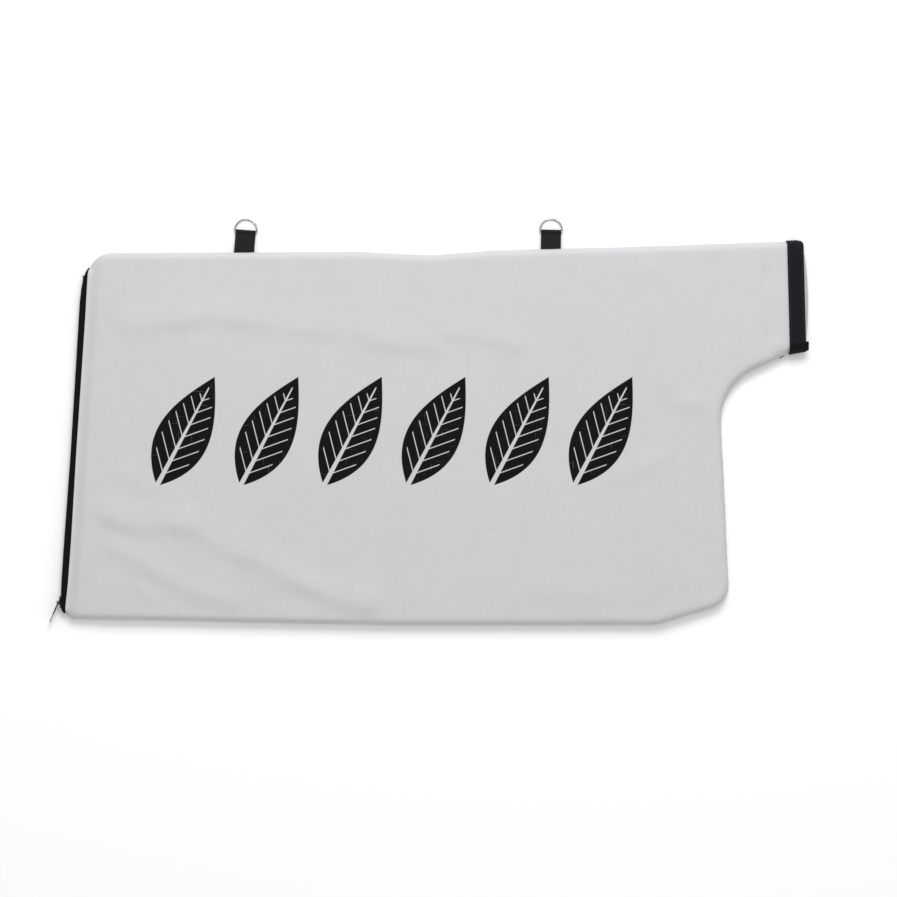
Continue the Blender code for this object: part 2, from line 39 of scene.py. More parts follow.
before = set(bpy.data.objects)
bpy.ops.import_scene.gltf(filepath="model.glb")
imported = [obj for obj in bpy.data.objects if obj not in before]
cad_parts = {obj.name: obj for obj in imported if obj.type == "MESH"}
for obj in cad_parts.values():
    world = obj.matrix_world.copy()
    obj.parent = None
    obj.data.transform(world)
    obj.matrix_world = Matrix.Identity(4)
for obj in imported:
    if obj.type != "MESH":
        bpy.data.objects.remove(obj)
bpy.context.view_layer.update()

# Cloth and clearances
WALL = 0.0006
GAP = 0.0003
ZIP_GAP = 0.0004

# Outline of the panels, seen from above
BODY_LEFT = -0.4424
BODY_LENGTH = 0.7982
BODY_BOTTOM = -0.2316
BODY_WIDTH = 0.4390
BOTTOM_SAG = 0.0076
CHAMFER_LENGTH = 0.0868
CHAMFER_RISE = 0.0267
END_EDGE_LEAN = 0.0122
NECK_LENGTH = 0.0917
NECK_WIDTH = 0.1300
NECK_RISE = 0.0141
NECK_SLANT = 0.0445
NECK_SLANT_LENGTH = 0.0834
NECK_FLARE = 0.0035
MOUTH_LEAN = 0.0034
MOUTH_ROUNDING = 0.0060
BACK_MOUTH_REACH = 0.0050
TOP_EDGE = ((0.2230, 0.0070), (0.0710, 0.0030), (-0.0034, -0.0030), (-0.0830, 0.0015))
TOP_LEFT_INSET = 0.0300

# Corner radii of the outline
BOTTOM_LEFT_RADIUS = 0.0120
TOP_LEFT_RADIUS = 0.0290
BOTTOM_RIGHT_RADIUS = 0.0300
CHAMFER_RADIUS = 0.0800
NOTCH_RADIUS = 0.0670
NECK_RADIUS = 0.0300
SOFT_RADIUS = 0.1500
ARC_STEP = math.radians(5.0)
SHORTEST_SIDE = 0.0002

# Heights of the panels' middle surfaces
SEAM_HEIGHT = 0.0040
# Width of the seams' flat edge, and how far apart the middles of its two cloths lie
SEAM_FLANGE = 0.0006
SEAM_STACK = 0.00045
BODY_HEIGHT = 0.0162
ZIP_EDGE_HEIGHT = 0.0144
NECK_LIFT = 0.0020
SHOULDER = 0.0085
SHOULDER_POWER = 2.4
ZIP_SHOULDER = 0.0110
BACK_CURL = 0.0180
ZIP_BLEND = 0.0600
NECK_BLEND = 0.0500

# Folds of the front panel: run of points, height of the crest (below zero in a valley),
# half width on the left of the run and half width on its right
FOLDS = (
    (((-0.414, -0.089), (-0.394, -0.101), (-0.373, -0.114), (-0.346, -0.119), (-0.316, -0.114), (-0.286, -0.121),
      (-0.262, -0.136), (-0.232, -0.152), (-0.196, -0.169), (-0.160, -0.187), (-0.124, -0.202), (-0.088, -0.211),
      (-0.049, -0.223)), 0.0028, 0.022, 0.012),
    (((-0.406, -0.138), (-0.376, -0.149), (-0.346, -0.161), (-0.322, -0.179), (-0.298, -0.191), (-0.268, -0.202),
      (-0.241, -0.212), (-0.220, -0.226)), 0.0019, 0.014, 0.012),
    (((-0.368, -0.181), (-0.352, -0.193), (-0.340, -0.205), (-0.330, -0.218)), 0.0010, 0.007, 0.005),
    (((-0.313, -0.218), (-0.292, -0.230)), 0.0008, 0.006, 0.004),
    (((-0.400, -0.043), (-0.376, -0.055), (-0.352, -0.066), (-0.322, -0.076), (-0.292, -0.086)),
     0.0014, 0.016, 0.012),
    (((-0.384, 0.142), (-0.385, 0.127), (-0.391, 0.112), (-0.398, 0.096), (-0.407, 0.084), (-0.412, 0.067),
      (-0.415, 0.041)), -0.0017, 0.0040, 0.0035),
    (((-0.391, 0.137), (-0.396, 0.118), (-0.403, 0.101)), 0.0010, 0.004, 0.005),
    (((-0.388, 0.115), (-0.340, 0.124), (-0.262, 0.133), (-0.190, 0.122), (-0.106, 0.113), (-0.040, 0.101),
      (0.020, 0.091)), 0.0019, 0.022, 0.012),
    (((-0.012, 0.140), (0.016, 0.116), (0.058, 0.106), (0.126, 0.096)), 0.0014, 0.020, 0.011),
    (((0.256, 0.211), (0.260, 0.151), (0.266, 0.115), (0.277, 0.082), (0.277, 0.049), (0.269, 0.026)),
     0.0018, 0.016, 0.011),
    (((0.266, 0.026), (0.308, 0.028), (0.347, 0.028)), 0.0014, 0.013, 0.009),
    (((0.397, 0.205), (0.398, 0.163), (0.402, 0.137), (0.403, 0.109), (0.402, 0.091), (0.398, 0.077)),
     -0.0019, 0.0080, 0.0040),
    (((0.403, 0.094), (0.408, 0.086), (0.416, 0.079)), -0.0017, 0.0035, 0.0030),
    (((0.409, 0.103), (0.424, 0.091)), 0.0011, 0.0045, 0.0035),
    (((0.204, -0.074), (0.250, -0.050), (0.278, -0.034), (0.302, -0.020)), 0.0013, 0.012, 0.012),
    (((0.320, 0.020), (0.327, -0.050), (0.331, -0.120), (0.335, -0.222)), -0.0010, 0.008, 0.006),
    (((0.262, -0.122), (0.268, -0.170), (0.277, -0.220)), 0.0010, 0.010, 0.008),
    (((0.100, -0.200), (0.190, -0.198), (0.280, -0.203)), 0.0011, 0.020, 0.014),
)
FOLD_TAPER = 0.0300
FOLD_DRIFT = 0.0035
# How much a fold grows and shrinks along its run, and the lengths of the two waves of that
FOLD_SWELL = 0.45
FOLD_SWELL_LENGTHS = (0.034, 0.021)
HEM_GROOVE_INSET = 0.0055
HEM_GROOVE_DEPTH = 0.0009
HEM_GROOVE_OUTER = 0.0024
HEM_GROOVE_INNER = 0.0090
HEM_DROP = 0.0012
HEM_DROP_WIDTH = 0.0120

# Fine creases
CRUMPLE_SCALES = ((0.115, 0.00055), (0.045, 0.00022), (0.018, 0.00007))
CRUMPLE_EDGE = 0.0160
PUCKER_LENGTH = 0.0120
PUCKER_FADE = 0.0130
SEAM_WOBBLE = 0.0005
WOBBLE_LENGTH = 0.0280
WOBBLE_FADE = 0.0200
# Where the neck's end and the zip keep the waves small
CALM_NECK_X = 0.4000
CALM_LENGTH = 0.0300
CALM_ZIP_LENGTH = 0.0200

# Panel mesh
EDGE_RINGS = (0.0005, 0.0014, 0.0030, 0.0058)
SNAP_SHARE = 0.22
MOUTH_STEPS = 40

# Zip along the left end
CHAIN_BULGE = 0.0050
CHAIN_HEIGHT = 0.0065
TAPE_THICKNESS = 0.0007
TAPE_TUCK = 0.0060
TAPE_BEND = 0.0024
TAPE_END_EDGE = 0.0006
TAPE_END_BLEND = 0.0050
TOP_TAPE_END = 0.0105
BOTTOM_TAPE_END = 0.0062
TAPE_STOP_SHORT = 0.0012
ZIP_EDGE_BACK = ((0.0, 0.0008), (0.030, 0.0020), (0.080, 0.0023), (0.190, 0.0013), (0.350, 0.0010), (0.40, 0.0004))
ZIP_BACK_FADE = 0.0100
# Painted shade: how dark the cloth is drawn in a band beside the zip, and where that band starts and ends inwards
# from the zip's edge
ZIP_BAND_PAINTED_SHADE = 0.925
ZIP_BAND_SHADE_START = (0.003, 0.009)
ZIP_BAND_SHADE_END = (0.0115, 0.0175)
TAPE_REACH = ((-0.0062, 0.0016), (0.0, 0.0042), (0.006, 0.0052), (0.030, 0.0060), (0.070, 0.0062), (0.190, 0.0056),
              (0.320, 0.0066), (0.368, 0.0070), (0.385, 0.0062), (0.398, 0.0042), (0.4100, 0.0010))
TAPE_BEND_STEPS = 8
TAPE_END_STEPS = 8
TAPE_PROBE = 0.0004
TAPE_STEP = 0.0040
COIL_WIDTH = 0.0016
COIL_THICKNESS = 0.0022
ROW_GAP = 0.0010
COIL_TURN_STEPS = 8
STOP_LENGTH = 0.0025
STOP_THICKNESS = 0.0026
STOP_ROUNDING = 0.0004
CHAIN_END_MARGIN = 0.0005
ROW_START = CHAIN_END_MARGIN + STOP_LENGTH + GAP
# Part of the zip's length that the stitches beside it take up, and the points measured there
ZIP_STITCH_SPAN = (0.01, 0.99)
ZIP_STITCH_PLACES = 120

# Slider and pull
SLIDER_LENGTH = 0.0110
SLIDER_WIDTH = 0.0080
SLIDER_PLATE = 0.0010
SLIDER_FLANGE = 0.0007
SLIDER_INSIDE = max(COIL_THICKNESS, STOP_THICKNESS) / 2.0 + GAP
SLIDER_SOFT_EDGE = 0.00018
SLIDER_CORNER = 0.0020
SLIDER_TAPER = 0.10
WEB_INSET = 0.0012
WEB_LENGTH = 0.0018
WEB_SOFT_EDGE = 0.0001
BRIDGE_BORE = 0.0011
BRIDGE_WALL = 0.0010
BRIDGE_WIDTH = 0.0024
BRIDGE_OFFSET = 0.0022
BRIDGE_STEPS = 14
BRIDGE_CENTRE = Vector((-(SLIDER_INSIDE + SLIDER_PLATE + BRIDGE_BORE), -BRIDGE_OFFSET, 0.0))
PULL_LENGTH = 0.0270
PULL_WIDTH = 0.0078
PULL_THICKNESS = 0.0012
PULL_TIP_RADIUS = 0.0036
PULL_EYE_LENGTH = 0.0032
PULL_SOFT_EDGE = 0.00022
PULL_REST_ANGLE = math.radians(20.0)
ENAMEL_SHARE = 0.58
ENAMEL_EDGE = 0.0006
ENAMEL_BLACK = (0.006, 0.006, 0.007)

# Hanger tabs and D-rings: place along the top seam, reach and lean of each tab
TABS = {
    "left": (-0.2269, 0.0260, math.radians(-4.4)),
    "right": (0.1415, 0.0229, math.radians(-1.0)),
}
TAB_WIDTH = 0.0240
TAB_THICKNESS = 0.0013
TAB_SLOPE = math.radians(4.0)
TAB_LOOP_SWEEP = math.radians(135.0)
TAB_LOOP_STEPS = 24
TAB_LEG_STEPS = 8
TAB_COLUMNS = 32
TAB_STITCH_INSET = 0.0036
TAB_ROOT = 0.0026
TAB_BULGE = 0.0013
TAB_BULGE_HALF_WIDTH = 0.0155
TAB_BULGE_FADE = 0.0050
RING_WIRE = 0.0019
RING_HEIGHT = 0.01545
RING_CORNER = 0.0016
RING_BOW_RADIUS = 0.0130
RING_SIDES = 14
WELD_X = 0.0030
WELD_HALF_WIDTH = 0.0012

# Webbing band round the mouth
BAND_WIDTH = 0.0195
BAND_INSET = 0.0006
BAND_THICKNESS = 0.0013
BAND_LOOP_POINTS = 480
BAND_ROWS = 9
BAND_STITCH_INSET = 0.0022
PATCH_LENGTH = 0.0125
PATCH_REACH = 0.0032
PATCH_THICKNESS = 0.0010
PATCH_POINTS = 14
PATCH_GAP = 0.0001
# Loose thread beside the band: its ends in X, how far it lies out from the seam, width and height
THREAD_END = (0.4150, 0.4222)
THREAD_OUT = 0.0009
THREAD_SIZE = (0.0012, 0.0010)

# Leaves printed on the front
PRINT_LEFT = -0.346
PRINT_MIDDLE = -0.0065
LEAF_COUNT = 6
LEAF_PITCH = 0.1000
LEAF_HALF_LENGTH = 0.0740
LEAF_HALF_WIDTH = 0.0310
LEAF_TILT = math.radians(62.0)
LEAF_EDGE = 0.0004
VEIN_PITCH = 0.0165
VEIN_SLANT = 1.1
VEIN_HALF_WIDTH = 0.0011
RIB_HALF_WIDTH = 0.0017
# Where the rib and the last veins end, as a part of the way to the leaf's tip
RIB_END = 0.80
VEIN_END = 0.66

# Direction from the bag to the middle of the soft lamp
LAMP_DIRECTION = (0.06, 0.66, 0.72)
FLOOR_PLACE = (0.0, 0.0, -0.0004)
FLOOR_REACH = 6.0
# Point in plan that the camera looks straight down at
PICTURE_MIDDLE = (0.0186, -0.0270)

# Width and height of the stitches
ZIP_STITCH = (0.0006, 0.0005)
BAND_STITCH = (0.0007, 0.0004)
TAB_STITCH = (0.0006, 0.0004)

BODY = "bag"
# Angle in degrees from which the edges of a thickened sheet stay hard
SHEET_SHARPNESS = 50.0


def screen_colour(red, green, blue):
    """Linear colour of three screen values from 0 to 255."""
    linear = []
    for value in (red, green, blue):
        share = value / 255.0
        linear.append(share / 12.92 if share <= 0.04045 else ((share + 0.055) / 1.055) ** 2.4)
    return tuple(linear)


def colour_setting(name, description, *screen):
    """Colour property whose default is three screen values from 0 to 255."""
    return FloatVectorProperty(name=name, description=description, subtype="COLOR", size=3, min=0.0, max=1.0,
                               default=screen_colour(*screen))


def length_setting(name, description, default, low, high):
    """Length property with its default and its range, in metres."""
    return FloatProperty(name=name, description=description, unit="LENGTH", default=default, min=low, max=high)


def level_setting(name, description, default, high):
    """Property without a unit, from 0 to a highest value."""
    return FloatProperty(name=name, description=description, default=default, min=0.0, max=high)


class LeafBagCloth(bpy.types.PropertyGroup):
    """Woven cloth of the two panels."""

    colour: colour_setting("Cloth colour", "Colour of the woven cloth", 202, 203, 205)
    ink: colour_setting("Print colour", "Colour of the printed leaves", 10, 10, 11)
    thread_pitch: length_setting("Thread pitch", "Distance between two threads of the weave", 0.0009, 0.0003, 0.004)
    thread_relief: length_setting("Thread relief", "Height of a thread over the gaps", 0.00007, 0.0, 0.0005)
    mesh_step: length_setting("Mesh step", "Size of the front panel's mesh squares", 0.0032, 0.002, 0.02)
    pucker: length_setting("Seam pucker", "Height of the small waves along the seams", 0.00035, 0.0, 0.002)


class LeafBagZip(bpy.types.PropertyGroup):
    """Zip tapes, coil, stops, slider and pull."""

    tape_colour: colour_setting("Tape colour", "Colour of the zip's woven tapes", 8, 8, 10)
    coil_colour: colour_setting("Coil colour", "Colour of the nylon coil", 14, 14, 16)
    metal_colour: colour_setting("Slider colour", "Colour of the slider and the stops", 58, 58, 62)
    pull_colour: colour_setting("Pull colour", "Colour of the pull", 176, 177, 180)
    coil_pitch: length_setting("Coil pitch", "Distance between two turns of one coil", 0.0016, 0.001, 0.004)
    coil_wire: length_setting("Coil wire", "Thickness of the nylon thread of the coil", 0.00055, 0.0002, 0.001)
    stitch_pitch: length_setting("Stitch pitch", "Distance between two stitches of the zip", 0.0036, 0.0015, 0.008)
    thread_colour: colour_setting("Thread colour", "Colour of the sewing thread on the cloth", 198, 199, 203)


class LeafBagWebbing(bpy.types.PropertyGroup):
    """Black webbing of the neck band and the hanger tabs."""

    band_colour: colour_setting("Band colour", "Colour of the neck band", 8, 8, 11)
    tab_colour: colour_setting("Tab colour", "Colour of the hanger tabs", 30, 30, 32)
    thread_colour: colour_setting("Thread colour", "Colour of the thread in the webbing", 34, 34, 37)
    rib_pitch: length_setting("Rib pitch", "Distance between two ribs of the neck band", 0.003, 0.001, 0.008)
    rib_relief: length_setting("Rib relief", "Height of the neck band's ribs", 0.00034, 0.0, 0.001)
    stitch_pitch: length_setting("Stitch pitch", "Distance between two stitches in the webbing", 0.003, 0.0015, 0.008)


class LeafBagRings(bpy.types.PropertyGroup):
    """Steel of the D-rings."""

    colour: colour_setting("Steel colour", "Colour of the ring wire", 168, 169, 172)
    weld: length_setting("Weld bead", "How far the weld stands out of the wire", 0.00025, 0.0, 0.001)


class LeafBagStage(bpy.types.PropertyGroup):
    """Camera, light and floor."""

    camera_height: length_setting("Camera height", "Height of the camera over the floor", 4.0, 1.0, 20.0)
    frame_width: length_setting("Frame width", "Width of what the camera sees at the bag", 1.0764, 0.2, 5.0)
    sky: level_setting("Sky level", "Strength of the even light from all round", 0.66, 2.0)
    lamp: level_setting("Lamp level", "Light on the floor from the soft lamp, where 1 is white", 0.43, 2.0)
    lamp_size: length_setting("Lamp size", "Width of the square soft lamp", 1.5, 0.1, 10.0)
    lamp_distance: length_setting("Lamp distance", "Distance of the lamp from the bag", 3.4, 0.5, 20.0)
    floor_lift: level_setting("Floor white", "Light that the camera sees in the floor itself", 0.06, 1.0)


def ease(value):
    """Smooth step from 0 to 1 of a number or an array."""
    share = np.clip(value, 0.0, 1.0)
    return share * share * (3.0 - 2.0 * share)


def round_rise(value, power=2.0):
    """Quarter of an ellipse that rises from 0 to 1, squarer with a higher power."""
    share = np.clip(value, 0.0, 1.0)
    return (1.0 - (1.0 - share) ** power) ** (1.0 / power)


def corner_arc(before, corner, after):
    """Points of the arc that rounds one corner (x, y, radius)."""
    place = Vector(corner[:2])
    radius = corner[2]
    back = (Vector(before[:2]) - place).normalized()
    ahead = (Vector(after[:2]) - place).normalized()
    turn = math.atan2(back.x * ahead.y - back.y * ahead.x, back.dot(ahead))
    half_turn = (math.pi - abs(turn)) / 2.0
    centre = place + (back + ahead).normalized() * radius / math.cos(half_turn)
    start = place + back * radius * math.tan(half_turn) - centre
    steps = max(2, round(2.0 * half_turn / ARC_STEP))
    side = -1.0 if turn > 0.0 else 1.0
    arc = []
    for step in range(steps + 1):
        angle = side * 2.0 * half_turn * step / steps
        arc.append(centre + start @ Matrix.Rotation(-angle, 2))
    return arc


def rounded_run(corners):
    """Open run of points through corners (x, y, radius); its two ends stay sharp."""
    points = [Vector(corners[0][:2])]
    for before, corner, after in zip(corners, corners[1:], corners[2:]):
        points += corner_arc(before, corner, after)
    points.append(Vector(corners[-1][:2]))
    return points


class Run:
    """Open run of points that gives places along it and, in plan, how far other points lie from it."""

    def __init__(self, points):
        self.points = np.array([tuple(point) for point in points])
        self.start = self.points[:-1]
        self.span = np.diff(self.points, axis=0)
        self.length = np.linalg.norm(self.span, axis=1)
        self.reached = np.concatenate(([0.0], np.cumsum(self.length)))

    def measure(self, plan):
        """Distance to each point of plan, how far along the run its foot lies, and 1 on the left or -1."""
        offset = plan[:, None] - self.start
        share = np.clip((offset * self.span).sum(-1) / self.length**2, 0.0, 1.0)
        distance = np.linalg.norm(offset - share[..., None] * self.span, axis=-1)
        nearest = distance.argmin(1)
        row = np.arange(len(plan))
        along = self.reached[nearest] + share[row, nearest] * self.length[nearest]
        span, away = self.span[nearest], offset[row, nearest]
        side = np.sign(span[:, 0] * away[:, 1] - span[:, 1] * away[:, 0])
        self.right = np.column_stack((span[:, 1], -span[:, 0])) / self.length[nearest, None]
        return distance[row, nearest], along, side

    def at(self, length):
        """Place at a length along the run."""
        return Vector([float(np.interp(length, self.reached, axis)) for axis in self.points.T])

    def y_at(self, x):
        """Y at each x, for a run that never turns back in X."""
        order = np.argsort(self.points[:, 0])
        return np.interp(x, self.points[order, 0], self.points[order, 1])


class Outline:
    """Edges of the panels in plan."""

    def __init__(self):
        right = BODY_LEFT + BODY_LENGTH
        top = BODY_BOTTOM + BODY_WIDTH
        neck_top = top + NECK_RISE
        neck_low = neck_top - NECK_WIDTH
        mouth = right + NECK_LENGTH
        sag_x = BODY_LEFT + BODY_LENGTH / 2.0
        end_edge_x = right - END_EDGE_LEAN
        chamfer_low = BODY_BOTTOM - BOTTOM_SAG
        self.mouth_low = Vector((mouth, neck_low))
        self.mouth_top = Vector((mouth - MOUTH_LEAN, neck_top))
        zip_bottom_corner = (BODY_LEFT, BODY_BOTTOM, BOTTOM_LEFT_RADIUS)
        zip_top_corner = (BODY_LEFT + TOP_LEFT_INSET, top, TOP_LEFT_RADIUS)
        bottom = [
            zip_bottom_corner,
            (sag_x, chamfer_low, SOFT_RADIUS),
            (right - CHAMFER_LENGTH, chamfer_low, CHAMFER_RADIUS),
            (right, chamfer_low + CHAMFER_RISE, BOTTOM_RIGHT_RADIUS),
            (end_edge_x, neck_low - NECK_SLANT, NOTCH_RADIUS),
            (end_edge_x + NECK_SLANT_LENGTH, neck_low - NECK_FLARE, NECK_RADIUS),
            (*self.mouth_low, 0.0),
        ]
        top_edge = [(*self.mouth_top, 0.0)]
        top_edge += [(x, top + rise, SOFT_RADIUS) for x, rise in TOP_EDGE]
        top_edge.append(zip_top_corner)
        self.bottom_arc = corner_arc(zip_top_corner, zip_bottom_corner, bottom[1])
        self.top_arc = corner_arc(top_edge[-2], zip_top_corner, zip_bottom_corner)
        self.bottom_points = [self.bottom_arc[-1]] + rounded_run(bottom)[1:]
        self.top_points = rounded_run(top_edge)[:-1] + [self.top_arc[0]]
        self.bottom_seam = Run(self.past(self.bottom_arc, BOTTOM_TAPE_END) + self.bottom_points[1:])
        self.top_seam = Run(self.top_points[:-1] + self.past(self.top_arc[::-1], TOP_TAPE_END)[::-1])
        lowest = int(self.bottom_seam.points[:, 0].argmax())
        turn_back = [index for index, point in enumerate(self.bottom_points) if point.y > neck_low - NECK_SLANT]
        self.neck_seam = Run(self.bottom_points[turn_back[0]:lowest + 1])
        self.zip_start = self.bottom_arc[0]
        self.zip_end = self.top_arc[-1]
        self.zip_along = (self.zip_end - self.zip_start).normalized()
        self.zip_out = Vector((-self.zip_along.y, self.zip_along.x))
        self.zip_length = (self.zip_end - self.zip_start).length

    @staticmethod
    def past(arc, length):
        """Part of an arc that lies beyond a length from its start."""
        run = Run(arc)
        beyond = [point for point, reached in zip(arc, run.reached) if reached > length + SHORTEST_SIDE]
        return [run.at(length)] + beyond

    def mouth(self, share, inset=0.0, reach=0.0):
        """Plan of points from the mouth's low end, at 0, to its top end, at 1, drawn back by inset."""
        low_x, top_x = self.mouth_low.x - inset, self.mouth_top.x - inset
        low_y = float(self.neck_seam.y_at(low_x))
        top_y = float(self.top_seam.y_at(top_x))
        x = low_x + (top_x - low_x) * share + reach * np.sin(math.pi * share)
        y = low_y + (top_y - low_y) * share
        rounding = MOUTH_ROUNDING * (1.0 - inset / (BAND_WIDTH + BAND_INSET))
        into = np.clip((y - top_y + rounding) / max(rounding, 1e-6), 0.0, 1.0)
        x = x - rounding * (1.0 - np.sqrt(1.0 - into * into))
        return np.column_stack((x, y))

    def points(self, mouth_reach, step):
        """Closed outline, anticlockwise, with no side longer than a step."""
        share = np.sin(np.linspace(0.0, math.pi / 2.0, MOUTH_STEPS + 1))[1:]
        mouth = [Vector(point) for point in self.mouth(share, reach=mouth_reach)]
        run = self.bottom_arc[:-1] + self.bottom_points + mouth + self.top_points[1:-1] + self.top_arc
        split = []
        for first, second in zip(run, run[1:] + run[:1]):
            parts = max(1, math.ceil((second - first).length / step))
            split += [first.lerp(second, part / parts) for part in range(parts)]
        return split

    def seam_distance(self, plan):
        """Distance from each point of plan to the nearer of the two long seams, and how far along it lies."""
        low, low_along, _ = self.bottom_seam.measure(plan)
        high, high_along, _ = self.top_seam.measure(plan)
        return np.minimum(low, high), np.where(low < high, low_along, high_along + self.bottom_seam.reached[-1])

    def wobble(self, plan):
        """Small shifts in plan that make the seams uneven, none at the zip or the neck's end."""
        low, low_along, _ = self.bottom_seam.measure(plan)
        high, high_along, _ = self.top_seam.measure(plan)
        nearer = low < high
        along = np.where(nearer, low_along, high_along + 5.0)
        out = np.where(nearer[:, None], self.bottom_seam.right, self.top_seam.right)
        waves = np.array([noise.noise(Vector((place / WOBBLE_LENGTH, 8.2, 4.4))) for place in along])
        calm = ease(self.zip_distance(plan) / CALM_LENGTH) * ease((CALM_NECK_X - plan[:, 0]) / CALM_LENGTH)
        size = SEAM_WOBBLE * (waves - 0.2) * calm * np.exp(-np.minimum(low, high) / WOBBLE_FADE)
        return out * size[:, None]

    def zip_back(self, plan):
        """Shifts in plan that draw the front panel back from the zip."""
        length = (plan - np.array(self.zip_start)) @ np.array(self.zip_along)
        size = np.interp(length, *zip(*ZIP_EDGE_BACK)) * np.exp(-self.zip_distance(plan) / ZIP_BACK_FADE)
        return -np.array(self.zip_out) * size[:, None]

    def zip_distance(self, plan):
        """Distance from each point of plan inwards from the zip's edge."""
        return (np.array(self.zip_start) - plan) @ np.array(self.zip_out)


OUTLINE = Outline()
FOLD_RUNS = [(Run(points), height, left, right) for points, height, left, right in FOLDS]


def fold_height(plan):
    """Sum of the front panel's folds at each point of plan."""
    total = np.zeros(len(plan))
    drift = np.column_stack((noise_at(plan, 0.045, 5.3), noise_at(plan, 0.038, 9.1)))
    for index, (run, height, left, right) in enumerate(FOLD_RUNS):
        distance, along, side = run.measure(plan + drift * min(FOLD_DRIFT, right * 0.4))
        width = np.where(side > 0.0, left, right)
        length = run.reached[-1]
        taper = min(FOLD_TAPER, length / 2.0)
        ends = ease(along / taper) * ease((length - along) / taper)
        slow, quick = along / FOLD_SWELL_LENGTHS[0], along / FOLD_SWELL_LENGTHS[1]
        strength = 1.0 + FOLD_SWELL * np.sin(slow + 2.1 * index) * np.sin(quick + index)
        total += height * ends * strength * np.exp(-((distance / width) ** 2))
    return total


def noise_at(plan, scale, seed):
    """Smooth noise from -1 to 1 at each point of plan, with waves about a scale long."""
    return np.array([noise.noise(Vector((x / scale, y / scale, seed))) for x, y in plan])


def crumple(plan, seam_distance):
    """Small irregular waves of slack cloth, which die away at the seams."""
    total = np.zeros(len(plan))
    for index, (scale, height) in enumerate(CRUMPLE_SCALES):
        total += height * noise_at(plan, scale, 1.0 + 7.0 * index)
    return total * ease(seam_distance / CRUMPLE_EDGE)


def seam_pucker(seam_distance, along):
    """Short waves across the seams, where the stitches draw the cloth together."""
    relief = bpy.context.scene.leaf_bag_cloth.pucker
    waves = np.array([noise.noise(Vector((place / PUCKER_LENGTH, 3.7, 1.3))) for place in along])
    ends = ease(np.abs(OUTLINE.bottom_seam.reached[-1] - along) / CALM_LENGTH)
    return relief * waves * ends * np.exp(-seam_distance / PUCKER_FADE)


def tab_bulge(plan, seam_distance):
    """How far the seam opens to let each tab in."""
    total = np.zeros(len(plan))
    for x, _, _ in TABS.values():
        total += TAB_BULGE * np.exp(-(((plan[:, 0] - x) / TAB_BULGE_HALF_WIDTH) ** 6))
    return total * np.where(plan[:, 1] > 0.0, np.exp(-seam_distance / TAB_BULGE_FADE), 0.0)


def neck_share(x):
    """0 in the body and 1 in the neck, with a smooth change between."""
    return ease((x - BODY_LEFT - BODY_LENGTH) / NECK_BLEND)


def front_height(plan):
    """Height of the front panel's middle surface at each point of plan."""
    seam_distance, along = OUTLINE.seam_distance(plan)
    inwards = OUTLINE.zip_distance(plan)
    near_zip = 1.0 - ease(inwards / ZIP_BLEND)
    full = BODY_HEIGHT + fold_height(plan)
    full += (ZIP_EDGE_HEIGHT - full) * near_zip
    calm = ease(inwards / CALM_ZIP_LENGTH) * (1.0 - 0.9 * ease((plan[:, 0] - CALM_NECK_X) / CALM_LENGTH))
    full += crumple(plan, seam_distance) * calm
    groove = np.where(inwards < HEM_GROOVE_INSET, HEM_GROOVE_OUTER, HEM_GROOVE_INNER)
    full -= HEM_GROOVE_DEPTH * np.exp(-(((inwards - HEM_GROOVE_INSET) / groove) ** 2))
    full -= HEM_DROP * np.exp(-((inwards / HEM_DROP_WIDTH) ** 2))
    width = SHOULDER + (ZIP_SHOULDER - SHOULDER) * near_zip
    seam = SEAM_HEIGHT + SEAM_STACK
    height = seam + (full - seam) * round_rise((seam_distance - SEAM_FLANGE) / width, SHOULDER_POWER)
    return height + seam_pucker(seam_distance, along) + tab_bulge(plan, seam_distance)


def back_height(plan):
    """Height of the back panel's middle surface, which lies on the floor in the body."""
    seam_distance, along = OUTLINE.seam_distance(plan)
    flat = WALL / 2.0 + NECK_LIFT * neck_share(plan[:, 0])
    curl = round_rise(seam_distance / BACK_CURL)
    height = SEAM_HEIGHT + (flat - SEAM_HEIGHT) * curl + seam_pucker(seam_distance, along)
    return np.maximum(height - tab_bulge(plan, seam_distance), WALL / 2.0)


class Signal:
    """Number that a shader node gives. An expression on it adds the Math nodes."""

    def __init__(self, finish, socket):
        self.finish = finish
        self.socket = socket

    def math(self, operation, *values):
        return self.finish.node("ShaderNodeMath", {"operation": operation}, dict(enumerate(values)))

    def __add__(self, other):
        return self.math("ADD", self, other)

    def __sub__(self, other):
        return self.math("SUBTRACT", self, other)

    def __rsub__(self, other):
        return self.math("SUBTRACT", other, self)

    def __mul__(self, other):
        return self.math("MULTIPLY", self, other)

    # A sum and a product are the same in either order
    __radd__ = __add__
    __rmul__ = __mul__

    def __truediv__(self, other):
        return self.math("DIVIDE", self, other)

    def __abs__(self):
        return self.math("ABSOLUTE", self)

    def sine(self):
        """Sine of a number of turns."""
        return self.math("SINE", self * math.tau)

    def fraction(self):
        """Part after the decimal point."""
        return self.math("FRACT", self)

    def whole(self):
        """Largest whole number that isn't above it."""
        return self.math("FLOOR", self)

    def most(self, other):
        """The larger of two numbers."""
        return self.math("MAXIMUM", self, other)

    def rise(self, low, high):
        """Smooth step from 0 at low to 1 at high."""
        sockets = {"Value": self, "From Min": low, "From Max": high}
        return self.finish.node("ShaderNodeMapRange", {"interpolation_type": "SMOOTHSTEP"}, sockets)


